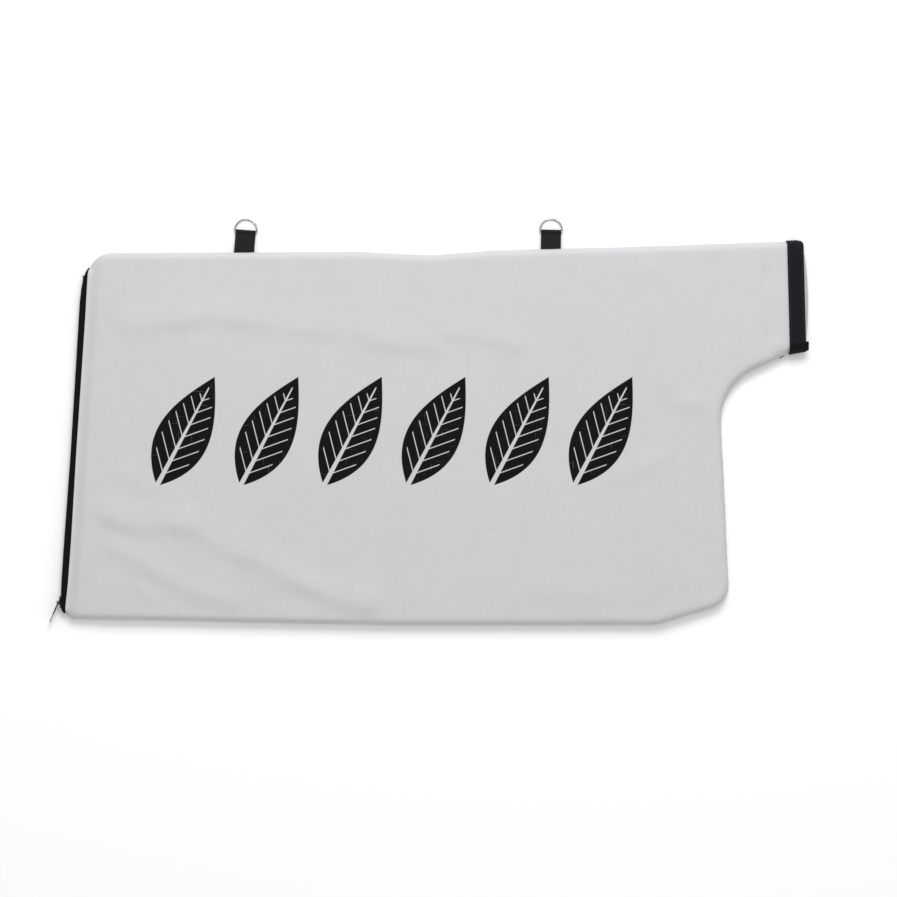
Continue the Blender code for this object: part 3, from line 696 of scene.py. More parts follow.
class Finish:
    """Material being made, with one Principled shader."""

    def __init__(self, name):
        self.material = bpy.data.materials.new(name)
        self.material.use_nodes = True
        self.tree = self.material.node_tree
        self.shader = self.tree.nodes["Principled BSDF"]
        self.place = self.node("ShaderNodeTexCoord", output="Object")

    def node(self, kind, settings=None, sockets=None, output=0):
        """Adds a node of any type, with its settings and then the values or links of its sockets."""
        made = self.tree.nodes.new(kind)
        for name, value in (settings or {}).items():
            setattr(made, name, value)
        for name, value in (sockets or {}).items():
            self.feed(made.inputs[name], value)
        return Signal(self, made.outputs[output])

    def feed(self, socket, value):
        """Links a signal to a socket, or sets the socket's own value."""
        if isinstance(value, Signal):
            self.tree.links.new(value.socket, socket)
        elif socket.type == "RGBA":
            socket.default_value = (*value[:3], 1.0)
        else:
            socket.default_value = value

    def set(self, **values):
        """Feeds sockets of the Principled shader; an underscore stands for a space."""
        for name, value in values.items():
            self.feed(self.shader.inputs[name.replace("_", " ")], value)

    def axes(self, vector):
        """X, Y and Z signals of a vector."""
        split = self.tree.nodes.new("ShaderNodeSeparateXYZ")
        self.tree.links.new(vector.socket, split.inputs[0])
        return [Signal(self, output) for output in split.outputs]

    def strip(self):
        """Signals along and across a swept strip, in metres, and the count of ribs across it."""
        return self.axes(self.node("ShaderNodeAttribute", {"attribute_name": "strip"}, output="Vector"))

    def grain(self, scale, detail=2.0, stretch=(1.0, 1.0, 1.0)):
        """Noise from 0 to 1, finer with scale and drawn out by stretch."""
        mapping = {"Vector": self.place, "Scale": tuple(scale * part for part in stretch)}
        mapped = self.node("ShaderNodeMapping", sockets=mapping)
        return self.node("ShaderNodeTexNoise", sockets={"Vector": mapped, "Scale": 1.0, "Detail": detail})

    def mix(self, share, first, second):
        """Colour between two colours."""
        mixed = self.tree.nodes.new("ShaderNodeMix")
        mixed.data_type = "RGBA"
        for index, value in ((0, share), (6, first), (7, second)):
            self.feed(mixed.inputs[index], value)
        return Signal(self, mixed.outputs[2])

    def shades(self, share, colour, dark, light):
        """Colour between a darker and a lighter shade of one colour."""
        return self.mix(share, shade(colour, dark), shade(colour, light))

    def bump(self, height):
        """Turns a height in metres into the shader's normal."""
        normal = self.node("ShaderNodeBump", sockets={"Strength": 1.0, "Distance": 1.0, "Height": height})
        self.set(Normal=normal)


def shade(colour, factor):
    """Colour made lighter or darker by a factor."""
    return tuple(min(value * factor, 1.0) for value in colour)


def plain_weave(across, along):
    """Height from 0 to 1 of a plain weave, from two signals that count its threads."""
    warp, weft = abs((across / 2.0).sine()), abs((along / 2.0).sine())
    over = ((across.whole() + along.whole()) / 2.0).fraction() * 2.0
    warp_top = warp * (weft * 0.45 + 0.55)
    weft_top = weft * (warp * 0.45 + 0.55)
    return warp_top + (weft_top - warp_top) * over


def leaf_ink(finish):
    """Mask of a row of plain leaves, 1 where there is ink."""
    x, y, _ = finish.axes(finish.place)
    row = (x - PRINT_LEFT) / LEAF_PITCH
    in_row = row.rise(-0.001, 0.001) * (LEAF_COUNT - row).rise(-0.001, 0.001)
    sideways = (row.fraction() - 0.5) * LEAF_PITCH
    up = y - PRINT_MIDDLE
    along = sideways * math.cos(LEAF_TILT) + up * math.sin(LEAF_TILT)
    across = up * math.cos(LEAF_TILT) - sideways * math.sin(LEAF_TILT)
    reach = along / LEAF_HALF_LENGTH
    off_rib = abs(across)
    half_width = (1.0 - reach * reach) * (1.0 - reach * 0.30) * LEAF_HALF_WIDTH
    blade = (half_width - off_rib).rise(-LEAF_EDGE, LEAF_EDGE)
    rib_half = (1.0 - reach * 0.7) * RIB_HALF_WIDTH
    rib = (rib_half - off_rib).rise(-LEAF_EDGE, LEAF_EDGE) * (RIB_END - reach).rise(-0.02, 0.02)
    from_vein = abs(((along - off_rib * VEIN_SLANT) / VEIN_PITCH).fraction() - 0.5) * VEIN_PITCH
    vein_zone = (half_width * 0.80 - off_rib).rise(0.0, LEAF_EDGE * 2.0) * (VEIN_END - reach).rise(0.0, 0.02)
    vein = (VEIN_HALF_WIDTH * 0.75 - from_vein).rise(-LEAF_EDGE, LEAF_EDGE) * vein_zone
    return blade * (1.0 - rib.most(vein)) * in_row


def cloth_finish(name, printed):
    """Light woven cloth, with or without the print, and with painted shade in a band beside the zip."""
    settings = bpy.context.scene.leaf_bag_cloth
    finish = Finish(name)
    x, y, _ = finish.axes(finish.place)
    weave = plain_weave(x / settings.thread_pitch, y / settings.thread_pitch)
    warp = finish.grain(1.0, 2.0, (760.0, 34.0, 60.0))
    weft = finish.grain(1.0, 2.0, (34.0, 760.0, 60.0))
    slubs = warp.most(weft)
    cloud = finish.grain(16.0, 3.0)
    tone = cloud * 0.2 + warp * 0.4 + weft * 0.4
    colour = finish.shades(tone.rise(0.30, 0.70), settings.colour, 0.965, 1.03)
    # Painted shade: the cloth is drawn darker in a band from a few millimetres to about 17 mm in from the zip; tape
    # holds how much
    inwards = sum((start - signal) * out for signal, start, out in zip((x, y), OUTLINE.zip_start, OUTLINE.zip_out))
    zip_band_shade = inwards.rise(*ZIP_BAND_SHADE_START) * (1.0 - inwards.rise(*ZIP_BAND_SHADE_END))
    tape = zip_band_shade * (0.35 + finish.grain(14.0, 2.0))
    colour = finish.mix(tape, colour, shade(settings.colour, ZIP_BAND_PAINTED_SHADE))
    relief = weave * settings.thread_relief + slubs * (settings.thread_relief * 0.9)
    roughness = 0.86 - weave * 0.08
    if printed:
        ink = leaf_ink(finish)
        worn = ink * (1.0 - slubs.rise(0.66, 0.80) * 0.16)
        colour = finish.mix(worn, colour, settings.ink)
        roughness = roughness - ink * 0.22
    finish.set(Base_Color=colour, Roughness=roughness, Specular_IOR_Level=0.10)
    finish.bump(relief)
    return finish.material


def webbing_finish(name, base, pitch, lighter, ribbed=0.0):
    """Dark webbing with fine threads that follow the strip; the raised threads are painted lighter as a highlight,
    with random tone from fuzz and cloud, and where ribbed is set the rib crests get a paler painted highlight.
    """
    finish = Finish(name)
    along, across, rib = finish.strip()
    threads = plain_weave(across / pitch, along / pitch)
    fuzz = finish.grain(900.0, 2.0)
    cloud = finish.grain(60.0, 2.0)
    # Painted highlight: the crests of the ribs are drawn paler, as light that catches them
    crest_highlight = (abs(rib.fraction() - 0.5) * 2.0).rise(0.45, 0.95) * ribbed
    # Partly painted highlight: the raised threads of the weave are drawn lighter; fuzz and cloud add random tone
    tone = threads * 0.6 + fuzz * 0.25 + cloud * 0.25
    colour = finish.shades(tone.rise(0.25, 0.95), base, 0.55, lighter)
    colour = finish.mix(crest_highlight * (cloud * 0.6 + 0.5), colour, shade(base, 9.0))
    finish.set(Base_Color=colour, Roughness=0.74 - threads * 0.12, Specular_IOR_Level=0.12)
    finish.bump(threads * 0.00009 + fuzz * 0.00002)
    return finish.material


def nylon_finish(name, colour):
    """Smooth nylon thread of the coil."""
    finish = Finish(name)
    grain = finish.grain(700.0, 2.0)
    finish.set(Base_Color=finish.shades(grain, colour, 0.8, 1.5), Roughness=0.30 + grain * 0.15)
    finish.bump(grain * 0.00001)
    return finish.material


def thread_finish(name, colour):
    """Twisted sewing thread."""
    finish = Finish(name)
    twist = finish.grain(1400.0, 1.0)
    finish.set(Base_Color=finish.shades(twist, colour, 0.75, 1.1), Roughness=0.70 + twist * 0.1)
    finish.bump(twist * 0.00004)
    return finish.material


def metal_finish(name, colour, roughness, wear, enamel=None):
    """Metal with fine scratches and small changes of polish; enamel is where black enamel ends."""
    finish = Finish(name)
    scratches = finish.grain(1.0, 3.0, (300.0, 2600.0, 900.0))
    cloud = finish.grain(140.0, 3.0)
    tone = scratches * 0.5 + cloud * 0.5
    metal = finish.shades(tone.rise(0.3, 0.7), colour, 1.0 - wear, 1.0 + wear)
    finish.set(Base_Color=metal, Roughness=(tone - 0.5) * 0.20 + roughness, Metallic=1.0)
    if enamel:
        start, direction, length = enamel
        x, y, _ = finish.axes(finish.place)
        reach = (x - start.x) * direction.x + (y - start.y) * direction.y
        bare = (reach + cloud * 0.002).rise(length, length + ENAMEL_EDGE)
        finish.set(Base_Color=finish.mix(bare, ENAMEL_BLACK, metal), Metallic=bare)
    finish.bump(scratches * 0.000006)
    return finish.material


def add_piece(name, bm, finishes, body, replaced=(), sharp=40.0):
    """Object from a bmesh, which is freed; it rides on a body and stands for the nodes that it replaces."""
    mesh = bpy.data.meshes.new(name)
    bm.to_mesh(mesh)
    bm.free()
    for finish in finishes:
        mesh.materials.append(finish)
    piece = bpy.data.objects.new(name, mesh)
    bpy.context.scene.collection.objects.link(piece)
    set_sharpness(mesh, sharp)
    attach(piece, body)
    if replaced:
        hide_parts(*replaced)
    return piece


def set_sharpness(mesh, degrees):
    """Smooth shading with hard edges where faces meet at more than an angle."""
    mesh.shade_smooth()
    mesh.set_sharp_from_angle(angle=math.radians(degrees))


def thicken(piece, thickness, inner_material=0, even=True):
    """Gives a surface its thickness, half to each side, and applies it."""
    solidify = piece.modifiers.new("thickness", "SOLIDIFY")
    solidify.thickness = thickness
    solidify.offset = 0.0
    solidify.use_even_offset = even
    solidify.material_offset = inner_material
    solidify.material_offset_rim = inner_material
    graph = bpy.context.evaluated_depsgraph_get()
    mesh = bpy.data.meshes.new_from_object(piece.evaluated_get(graph))
    piece.modifiers.clear()
    piece.data = mesh
    mesh.name = piece.name
    set_sharpness(mesh, SHEET_SHARPNESS)


def new_vertices(geometry):
    """Vertices among the geometry that an operator returns."""
    return [item for item in geometry if isinstance(item, bmesh.types.BMVert)]


def swept(sections, section_closed=False, path_closed=False, ribs=0):
    """Surface that a section draws as it is extruded from place to place, with lengths along and across it."""
    bm = bmesh.new()
    strip = bm.verts.layers.float_vector.new("strip")
    middle = len(sections[0]) // 2
    along = Run([section[middle] for section in sections]).reached
    across = [(length, ribs * place / len(sections[0]))
              for place, length in enumerate(Run(sections[len(sections) // 2]).reached)]
    verts = [bm.verts.new(point) for point in sections[0]]
    edges = [bm.edges.new(pair) for pair in zip(verts, verts[1:])]
    if section_closed:
        edges.append(bm.edges.new((verts[-1], verts[0])))
    first_edges = list(edges)
    mark(verts, strip, along[0], across)
    for place, section in enumerate(sections[1:], 1):
        made = bmesh.ops.extrude_edge_only(bm, edges=edges)["geom"]
        fresh = set(new_vertices(made))
        edges = [item for item in made if isinstance(item, bmesh.types.BMEdge) and set(item.verts) <= fresh]
        verts = [next(edge.other_vert(vert) for edge in vert.link_edges if edge.other_vert(vert) in fresh)
                 for vert in verts]
        for vert, point in zip(verts, section):
            vert.co = point
        mark(verts, strip, along[place], across)
    if path_closed:
        bmesh.ops.bridge_loops(bm, edges=edges + first_edges)
    bmesh.ops.recalc_face_normals(bm, faces=bm.faces)
    return bm


def mark(verts, layer, along, across):
    """Writes each vertex's lengths along and across the strip, and the count of ribs up to it."""
    for vert, (length, rib) in zip(verts, across):
        vert[layer] = (along, length, rib)


def add_stitch(bm, start, end, normal, width, height):
    """One stitch: a bead drawn out from one needle hole to the next, half sunk in what it lies on."""
    direction = end - start
    length = direction.length
    direction.normalize()
    side = normal.cross(direction).normalized()
    up = direction.cross(side)
    turned = Matrix((side * width, up * height, direction * length)).transposed().to_4x4()
    matrix = Matrix.Translation((start + end) / 2.0) @ turned
    bmesh.ops.create_uvsphere(bm, u_segments=6, v_segments=5, radius=0.5, matrix=matrix)


def add_stitch_row(bm, points, normals, pitch, width, height, share=0.78):
    """Stitches at an even pitch along a run of points on a surface."""
    run = Run(points)
    ups = np.array([tuple(normal) for normal in normals])
    count = max(1, int(run.reached[-1] / pitch))
    start = (run.reached[-1] - count * pitch) / 2.0
    for index in range(count):
        low = start + pitch * (index + (1.0 - share) / 2.0)
        holes = (low, low + pitch * share)
        up, next_up = [Vector([np.interp(hole, run.reached, axis) for axis in ups.T]) for hole in holes]
        if up.dot(next_up) > 0.8:
            add_stitch(bm, run.at(holes[0]), run.at(holes[1]), up, width, height)


def cut_on(bm, faces, axis, places, snap):
    """Cuts faces by parallel planes, each time going on with what lies beyond the last plane."""
    normal = Vector((0.0, 0.0, 0.0))
    normal[axis] = 1.0
    for place in places:
        edges = {edge for face in faces for edge in face.edges}
        verts = {vert for face in faces for vert in face.verts}
        cut = bmesh.ops.bisect_plane(bm, geom=[*faces, *edges, *verts], dist=snap, plane_co=normal * place,
                                     plane_no=normal)
        faces = [item for item in cut["geom"] if isinstance(item, bmesh.types.BMFace)
                 and item.calc_center_median()[axis] > place]


def panel_mesh(outline, height, step, drawn_back=False):
    """Panel surface: the outline, rings along its edge and a square grid inside, raised to its height."""
    bm = bmesh.new()
    face = bm.faces.new([bm.verts.new((*point, 0.0)) for point in outline])
    reached = 0.0
    for inset in EDGE_RINGS:
        bmesh.ops.inset_individual(bm, faces=[face], thickness=inset - reached, use_even_offset=True)
        reached = inset
    face.material_index = 1
    xs, ys = [vert.co.x for vert in face.verts], [vert.co.y for vert in face.verts]
    for axis, values in ((0, xs), (1, ys)):
        count = round((max(values) - min(values)) / step)
        places = np.linspace(min(values), max(values), count + 1)[1:-1]
        inner = [item for item in bm.faces if item.material_index == 1]
        cut_on(bm, inner, axis, [float(place) for place in places], step * SNAP_SHARE)
    bmesh.ops.triangulate(bm, faces=[item for item in bm.faces if len(item.verts) > 4])
    plan = np.array([vert.co.xy[:] for vert in bm.verts])
    shifted = plan + OUTLINE.wobble(plan)
    if drawn_back:
        shifted += OUTLINE.zip_back(plan)
    for vert, place, z in zip(bm.verts, shifted, height(plan)):
        vert.co = (*place, z)
    for item in bm.faces:
        item.material_index = 0
    return bm


def plan_area(outline):
    """Area inside a closed outline."""
    total = 0.0
    for first, second in zip(outline, outline[1:] + outline[:1]):
        total += first.x * second.y - second.x * first.y
    return total / 2.0


class LeafBagPanels(bpy.types.Operator):
    """Make the front and back panels, each one sheet of woven cloth"""

    bl_idname = "object.leaf_bag_panels"
    bl_label = "Cloth Panels"

    def execute(self, context):
        step = context.scene.leaf_bag_cloth.mesh_step
        plain = cloth_finish("woven cloth", printed=False)
        printed = cloth_finish("printed cloth", printed=True)
        outlines = [OUTLINE.points(0.0, step), OUTLINE.points(BACK_MOUTH_REACH, step * 1.5)]
        back = add_piece("back_panel_cloth", panel_mesh(outlines[1], back_height, step * 1.5), [plain], BODY,
                         ["back_panel"])
        front = add_piece("front_panel_cloth", panel_mesh(outlines[0], front_height, step, drawn_back=True),
                          [printed, plain], BODY, ["front_panel"])
        for piece, outline, rests_on, inner in ((back, outlines[1], "front_panel_cloth", 0),
                                                (front, outlines[0], "back_panel_cloth", 1)):
            thicken(piece, WALL, inner, even=False)
            plan_area(outline)
        return {"FINISHED"}


def tape_path():
    """Places along the zip's edge and a little round both corners: point, outward direction and zip length."""
    ends = []
    for arc, length in ((OUTLINE.bottom_arc, BOTTOM_TAPE_END), (OUTLINE.top_arc[::-1], TOP_TAPE_END)):
        run = Run(arc)
        end = []
        for index in range(1, TAPE_END_STEPS + 1):
            at = (length - TAPE_STOP_SHORT) * index / TAPE_END_STEPS
            before, place, after = [run.at(at + shift) for shift in (-TAPE_PROBE, 0.0, TAPE_PROBE)]
            across = (after - before).orthogonal().normalized()
            if across.dot(OUTLINE.zip_out) < 0.0:
                across.negate()
            end.append((place, across, at))
        ends.append(end)
    count = round(OUTLINE.zip_length / TAPE_STEP)
    straight = [(OUTLINE.zip_start.lerp(OUTLINE.zip_end, index / count), OUTLINE.zip_out,
                 OUTLINE.zip_length * index / count) for index in range(count + 1)]
    low = [(point, across, -at) for point, across, at in reversed(ends[0])]
    high = [(point, across, OUTLINE.zip_length + at) for point, across, at in ends[1]]
    return low + straight + high


def tape_section(point, outwards, length, upper):
    """One section of a tape, from its tucked edge under the panel to its edge at the chain."""
    plan = np.array([tuple(point)])
    heights = float(front_height(plan)[0]), float(back_height(plan)[0])
    side = 1.0 if upper else -1.0
    tuck = heights[0 if upper else 1] - side * (WALL / 2.0 + ZIP_GAP + TAPE_THICKNESS / 2.0)
    centre = min(CHAIN_HEIGHT, sum(heights) / 2.0)
    inside = min(length, OUTLINE.zip_length - length)
    row_edge = ROW_GAP / 2.0 + COIL_WIDTH + GAP
    edge = TAPE_END_EDGE + (row_edge - TAPE_END_EDGE) * float(ease(1.0 + inside / TAPE_END_BLEND))
    reach = float(np.interp(length, *zip(*TAPE_REACH)))
    drop = abs(tuck - centre) - edge
    bend = max(min(TAPE_BEND, drop, reach + TAPE_TUCK * 0.8), 0.0001)
    flat = [(-TAPE_TUCK, tuck), (-TAPE_TUCK * 0.5, tuck)]
    for step in range(TAPE_BEND_STEPS + 1):
        angle = math.pi / 2.0 * step / TAPE_BEND_STEPS
        across = reach - bend + bend * math.sin(angle)
        flat.append((across, tuck - side * bend * (1.0 - math.cos(angle))))
    last = centre + side * edge
    for step in (0.34, 0.67, 1.0):
        flat.append((reach, flat[-1][1] + (last - flat[-1][1]) * step))
    return [Vector((*(point + outwards * across), z)) for across, z in flat]


def zip_matrix():
    """Place of the zip's line: origin at its start in the chain's plane, Y along it and X into the bag."""
    turn = math.atan2(OUTLINE.zip_along.y, OUTLINE.zip_along.x) - math.pi / 2.0
    return Matrix.Translation((*OUTLINE.zip_start, CHAIN_HEIGHT)) @ Matrix.Rotation(turn, 4, "Z")


def coil_mesh(start, end, pitch, wire, side):
    """One row of the zip: a thread that spins about its row in flattened turns."""
    turns = int((end - start) / pitch)
    bm = bmesh.new()
    radius = (COIL_THICKNESS - wire) / 2.0
    depth = (COIL_WIDTH + ROW_GAP * 0.75 - wire) / 2.0
    turned = Matrix.Translation((radius, start, 0.0))
    circle = bmesh.ops.create_circle(bm, cap_ends=False, radius=wire / 2.0, segments=4, matrix=turned)
    geometry = circle["verts"] + list({edge for vert in circle["verts"] for edge in vert.link_edges})
    steps = turns * COIL_TURN_STEPS
    bmesh.ops.spin(bm, geom=geometry, cent=(0.0, start, 0.0), axis=(0.0, 1.0, 0.0), angle=math.tau * turns,
                   dvec=(0.0, pitch / COIL_TURN_STEPS, 0.0), steps=steps)
    bmesh.ops.holes_fill(bm, edges=[edge for edge in bm.edges if edge.is_boundary], sides=0)
    bmesh.ops.recalc_face_normals(bm, faces=bm.faces)
    bmesh.ops.scale(bm, vec=(1.0, 1.0, depth / radius), verts=bm.verts)
    centre = side * (ROW_GAP / 2.0 + COIL_WIDTH - depth - wire / 2.0)
    bmesh.ops.translate(bm, vec=(-CHAIN_BULGE, side * pitch / 4.0, centre), verts=bm.verts)
    bmesh.ops.transform(bm, matrix=zip_matrix(), verts=bm.verts)
    return bm


def soften(bm, edges, offset, segments):
    """Rounds edges."""
    bmesh.ops.bevel(bm, geom=edges, offset=offset, segments=segments, profile=0.5, affect="EDGES", material=-1)


def sharp_edges(bm):
    """Edges between two faces that meet at more than about 45 degrees."""
    return [edge for edge in bm.edges if edge.calc_face_angle(0.0) > 0.8]


def add_box(bm, centre, size):
    """Adds a box to a bmesh."""
    bmesh.ops.create_cube(bm, size=1.0, matrix=Matrix.Translation(centre) @ Matrix.Diagonal((*size, 1.0)))


def rounded_block(centre, size, rounding, matrix, segments=3):
    """Box with rounded edges, set in place by a matrix."""
    bm = bmesh.new()
    add_box(bm, (0.0, 0.0, 0.0), size)
    soften(bm, bm.edges, rounding, segments)
    bmesh.ops.transform(bm, matrix=matrix @ Matrix.Translation(centre), verts=bm.verts)
    return bm


class LeafBagZipMake(bpy.types.Operator):
    """Make the zip's tapes, coils, stops and the stitches beside it"""

    bl_idname = "object.leaf_bag_zip"
    bl_label = "Zip"

    def execute(self, context):
        settings = context.scene.leaf_bag_zip
        tape_cloth = webbing_finish("zip tape cloth", settings.tape_colour, 0.0007, 1.5)
        nylon = nylon_finish("zip nylon", settings.coil_colour)
        stop_metal = metal_finish("zip stop metal", settings.metal_colour, 0.36, 0.15)
        path = tape_path()
        row_end = OUTLINE.zip_length - ROW_START
        place = zip_matrix()
        row_centre = (ROW_GAP + COIL_WIDTH) / 2.0
        for name, upper, side in (("front", True, 1.0), ("back", False, -1.0)):
            tape = add_piece(f"zip_tape_{name}_cloth", swept([tape_section(*stop, upper) for stop in path]),
                             [tape_cloth], BODY, [f"zip_tape_{name}"])
            thicken(tape, TAPE_THICKNESS)
            coil = coil_mesh(ROW_START, row_end, settings.coil_pitch, settings.coil_wire, side)
            add_piece(f"zip_coil_{name}_turns", coil, [nylon], BODY, [f"zip_coil_{name}"])
            centre = (-CHAIN_BULGE, CHAIN_END_MARGIN + STOP_LENGTH / 2.0, side * row_centre)
            stop = rounded_block(centre, (STOP_THICKNESS, STOP_LENGTH, COIL_WIDTH), STOP_ROUNDING, place)
            add_piece(f"zip_top_stop_{name}_metal", stop, [stop_metal], BODY, [f"zip_top_stop_{name}"])
        centre = (-CHAIN_BULGE, row_end + GAP + STOP_LENGTH / 2.0, 0.0)
        size = (STOP_THICKNESS, STOP_LENGTH, ROW_GAP + 2.0 * COIL_WIDTH)
        stop = rounded_block(centre, size, STOP_ROUNDING, place)
        add_piece("zip_bottom_stop_metal", stop, [stop_metal], BODY, ["zip_bottom_stop"])
        self.stitch(settings)
        return {"FINISHED"}

    @staticmethod
    def stitch(settings):
        """Stitches that hold the front tape, in the groove beside the zip."""
        share = np.linspace(*ZIP_STITCH_SPAN, ZIP_STITCH_PLACES)[:, None]
        edge = np.array(OUTLINE.zip_start) * (1.0 - share) + np.array(OUTLINE.zip_end) * share
        plan = edge - np.array(OUTLINE.zip_out) * HEM_GROOVE_INSET
        points = np.column_stack((plan, front_height(plan) + WALL / 2.0))
        bm = bmesh.new()
        ups = [(0.0, 0.0, 1.0)] * ZIP_STITCH_PLACES
        add_stitch_row(bm, points, ups, settings.stitch_pitch, *ZIP_STITCH)
        thread = thread_finish("cloth thread", settings.thread_colour)
        add_piece("zip_stitches", bm, [thread], BODY)


def slider_plate(outward):
    """One plate of the slider, with its two side flanges turned in towards the tapes."""
    bm = bmesh.new()
    add_box(bm, (SLIDER_INSIDE + SLIDER_PLATE / 2.0, 0.0, 0.0), (SLIDER_PLATE, SLIDER_LENGTH, SLIDER_WIDTH))
    corners = [edge for edge in bm.edges if abs(edge.verts[0].co.x - edge.verts[1].co.x) > SLIDER_PLATE / 2.0]
    soften(bm, corners, SLIDER_CORNER, 5)
    size = (SLIDER_FLANGE + SLIDER_PLATE * 0.6, SLIDER_LENGTH * 0.62, SLIDER_FLANGE)
    for side in (-1.0, 1.0):
        x = SLIDER_INSIDE - SLIDER_FLANGE / 2.0 + SLIDER_PLATE * 0.3
        add_box(bm, (x, 0.0, side * (SLIDER_WIDTH - SLIDER_FLANGE) / 2.0), size)
    soften(bm, sharp_edges(bm), SLIDER_SOFT_EDGE, 2)
    for vert in bm.verts:
        vert.co.z *= 1.0 - SLIDER_TAPER * (vert.co.y / SLIDER_LENGTH + 0.5)
        vert.co.x *= outward
    if outward < 0.0:
        bmesh.ops.reverse_faces(bm, faces=bm.faces)
    return bm


def bridge_mesh():
    """Arch on the outer plate that holds the pull, with two legs."""
    leg = (BRIDGE_BORE + SLIDER_PLATE / 2.0, 0.0, 0.0)
    middle = BRIDGE_CENTRE + Vector((0.0, -BRIDGE_BORE - BRIDGE_WALL / 2.0, 0.0))
    section = Matrix.Rotation(math.pi / 2.0, 4, "Y") @ Matrix.Diagonal((BRIDGE_WIDTH, BRIDGE_WALL, 1.0, 1.0))
    bm = bmesh.new()
    bmesh.ops.create_grid(bm, x_segments=1, y_segments=1, size=0.5, matrix=Matrix.Translation(middle) @ section)
    face = list(bm.faces)
    near = bmesh.ops.extrude_face_region(bm, geom=face, use_keep_orig=True)["geom"]
    bmesh.ops.translate(bm, vec=leg, verts=new_vertices(near))
    bmesh.ops.spin(bm, geom=face, cent=BRIDGE_CENTRE, axis=(0.0, 0.0, -1.0), angle=math.pi, steps=BRIDGE_STEPS)
    ends = [item for item in bm.faces if abs(item.normal.x) > 0.99
            and item.calc_center_median().y > BRIDGE_CENTRE.y + BRIDGE_BORE and len(item.verts) == 4
            and abs(item.calc_center_median().x - BRIDGE_CENTRE.x) < 1e-6]
    far = bmesh.ops.extrude_face_region(bm, geom=ends)["geom"]
    bmesh.ops.translate(bm, vec=leg, verts=new_vertices(far))
    bmesh.ops.delete(bm, geom=face, context="FACES_ONLY")
    bmesh.ops.remove_doubles(bm, verts=bm.verts, dist=1e-6)
    bmesh.ops.recalc_face_normals(bm, faces=bm.faces)
    soften(bm, sharp_edges(bm), SLIDER_SOFT_EDGE, 2)
    return bm


def joined(*parts):
    """One bmesh from several, which are freed."""
    whole = bmesh.new()
    for part in parts:
        mesh = bpy.data.meshes.new("part")
        part.to_mesh(mesh)
        part.free()
        whole.from_mesh(mesh)
        bpy.data.meshes.remove(mesh)
    return whole


def pull_mesh():
    """Flat pull with a rounded tip, an eye at one end, a shallow recess and soft edges, along +X."""
    half = PULL_WIDTH / 2.0
    bar = PULL_THICKNESS / 2.0
    end = PULL_LENGTH - bar
    hole_half = BRIDGE_WIDTH / 2.0 + GAP
    corners = [(-bar, 0.0, 0.0), (-bar, -half, BRIDGE_WALL), (end, -half, PULL_TIP_RADIUS),
               (end, half, PULL_TIP_RADIUS), (-bar, half, BRIDGE_WALL), (-bar, 0.0, 0.0)]
    outer = rounded_run(corners)[:-1]
    hole = [Vector(point) for point in ((bar, -hole_half), (bar, hole_half), (PULL_EYE_LENGTH, hole_half),
                                        (PULL_EYE_LENGTH, -hole_half))]
    bm = bmesh.new()
    edges = []
    for loop in (outer, hole):
        verts = [bm.verts.new((*point, 0.0)) for point in loop]
        edges += [bm.edges.new(pair) for pair in zip(verts, verts[1:] + verts[:1])]
    bmesh.ops.triangle_fill(bm, edges=edges, use_beauty=True, use_dissolve=False)
    made = bmesh.ops.extrude_face_region(bm, geom=bm.faces, use_keep_orig=True)["geom"]
    bmesh.ops.translate(bm, vec=(0.0, 0.0, PULL_THICKNESS), verts=new_vertices(made))
    bmesh.ops.recalc_face_normals(bm, faces=bm.faces)
    bmesh.ops.translate(bm, vec=(0.0, 0.0, -PULL_THICKNESS / 2.0), verts=bm.verts)
    rims = [edge for edge in sharp_edges(bm) if edge.verts[0].co.z * edge.verts[1].co.z > 0.0]
    soften(bm, rims, PULL_SOFT_EDGE, 3)
    return bm


class LeafBagSlider(bpy.types.Operator):
    """Make the slider with its bridge, and the pull that hangs in it"""

    bl_idname = "object.leaf_bag_slider"
    bl_label = "Slider and Pull"

    def execute(self, context):
        settings = context.scene.leaf_bag_zip
        zinc = metal_finish("slider zinc", settings.metal_colour, 0.34, 0.18)
        rest = ROW_START + SLIDER_LENGTH / 2.0
        place = zip_matrix() @ Matrix.Translation((-CHAIN_BULGE, rest, 0.0))
        slider = joined(slider_plate(1.0), slider_plate(-1.0), bridge_mesh(), self.web())
        bmesh.ops.transform(slider, matrix=place, verts=slider.verts)
        add_piece("zip_slider_body", slider, [zinc], "slider", ["zip_slider"])
        turn = Matrix.Rotation(-math.pi / 2.0 - PULL_REST_ANGLE, 4, "Z") @ Matrix.Rotation(math.pi / 2.0, 4, "X")
        seat = place @ Matrix.Translation(BRIDGE_CENTRE) @ turn
        pull = pull_mesh()
        steel = metal_finish("pull steel", settings.pull_colour, 0.24, 0.12,
                             (seat.translation, seat.col[0].to_3d(), PULL_LENGTH * ENAMEL_SHARE))
        bmesh.ops.transform(pull, matrix=seat, verts=pull.verts)
        add_piece("zip_pull_tag", pull, [steel], "pull", ["zip_pull"])
        return {"FINISHED"}

    @staticmethod
    def web():
        """Post at the slider's open end that joins its two plates."""
        centre = (0.0, -SLIDER_LENGTH / 2.0 + WEB_INSET, 0.0)
        size = (SLIDER_INSIDE * 2.0 + SLIDER_PLATE, WEB_LENGTH, ROW_GAP * 0.5)
        return rounded_block(centre, size, WEB_SOFT_EDGE, Matrix.Identity(4), 2)


def neck_loop(inset):
    """Closed loop of both panels' middle surfaces at an inset from the mouth, with evenly spaced points."""
    share = 0.5 - 0.5 * np.cos(np.linspace(0.0, math.pi, BAND_LOOP_POINTS // 2))
    plan = OUTLINE.mouth(share, inset)
    front = np.column_stack((plan, front_height(plan)))
    back = np.column_stack((plan, back_height(plan)))[::-1]
    loop = Run(np.vstack((front, back, front[:1])))
    places = np.linspace(0.0, loop.reached[-1], BAND_LOOP_POINTS, endpoint=False)
    return np.column_stack([np.interp(places, loop.reached, axis) for axis in loop.points.T]), loop.reached[-1]


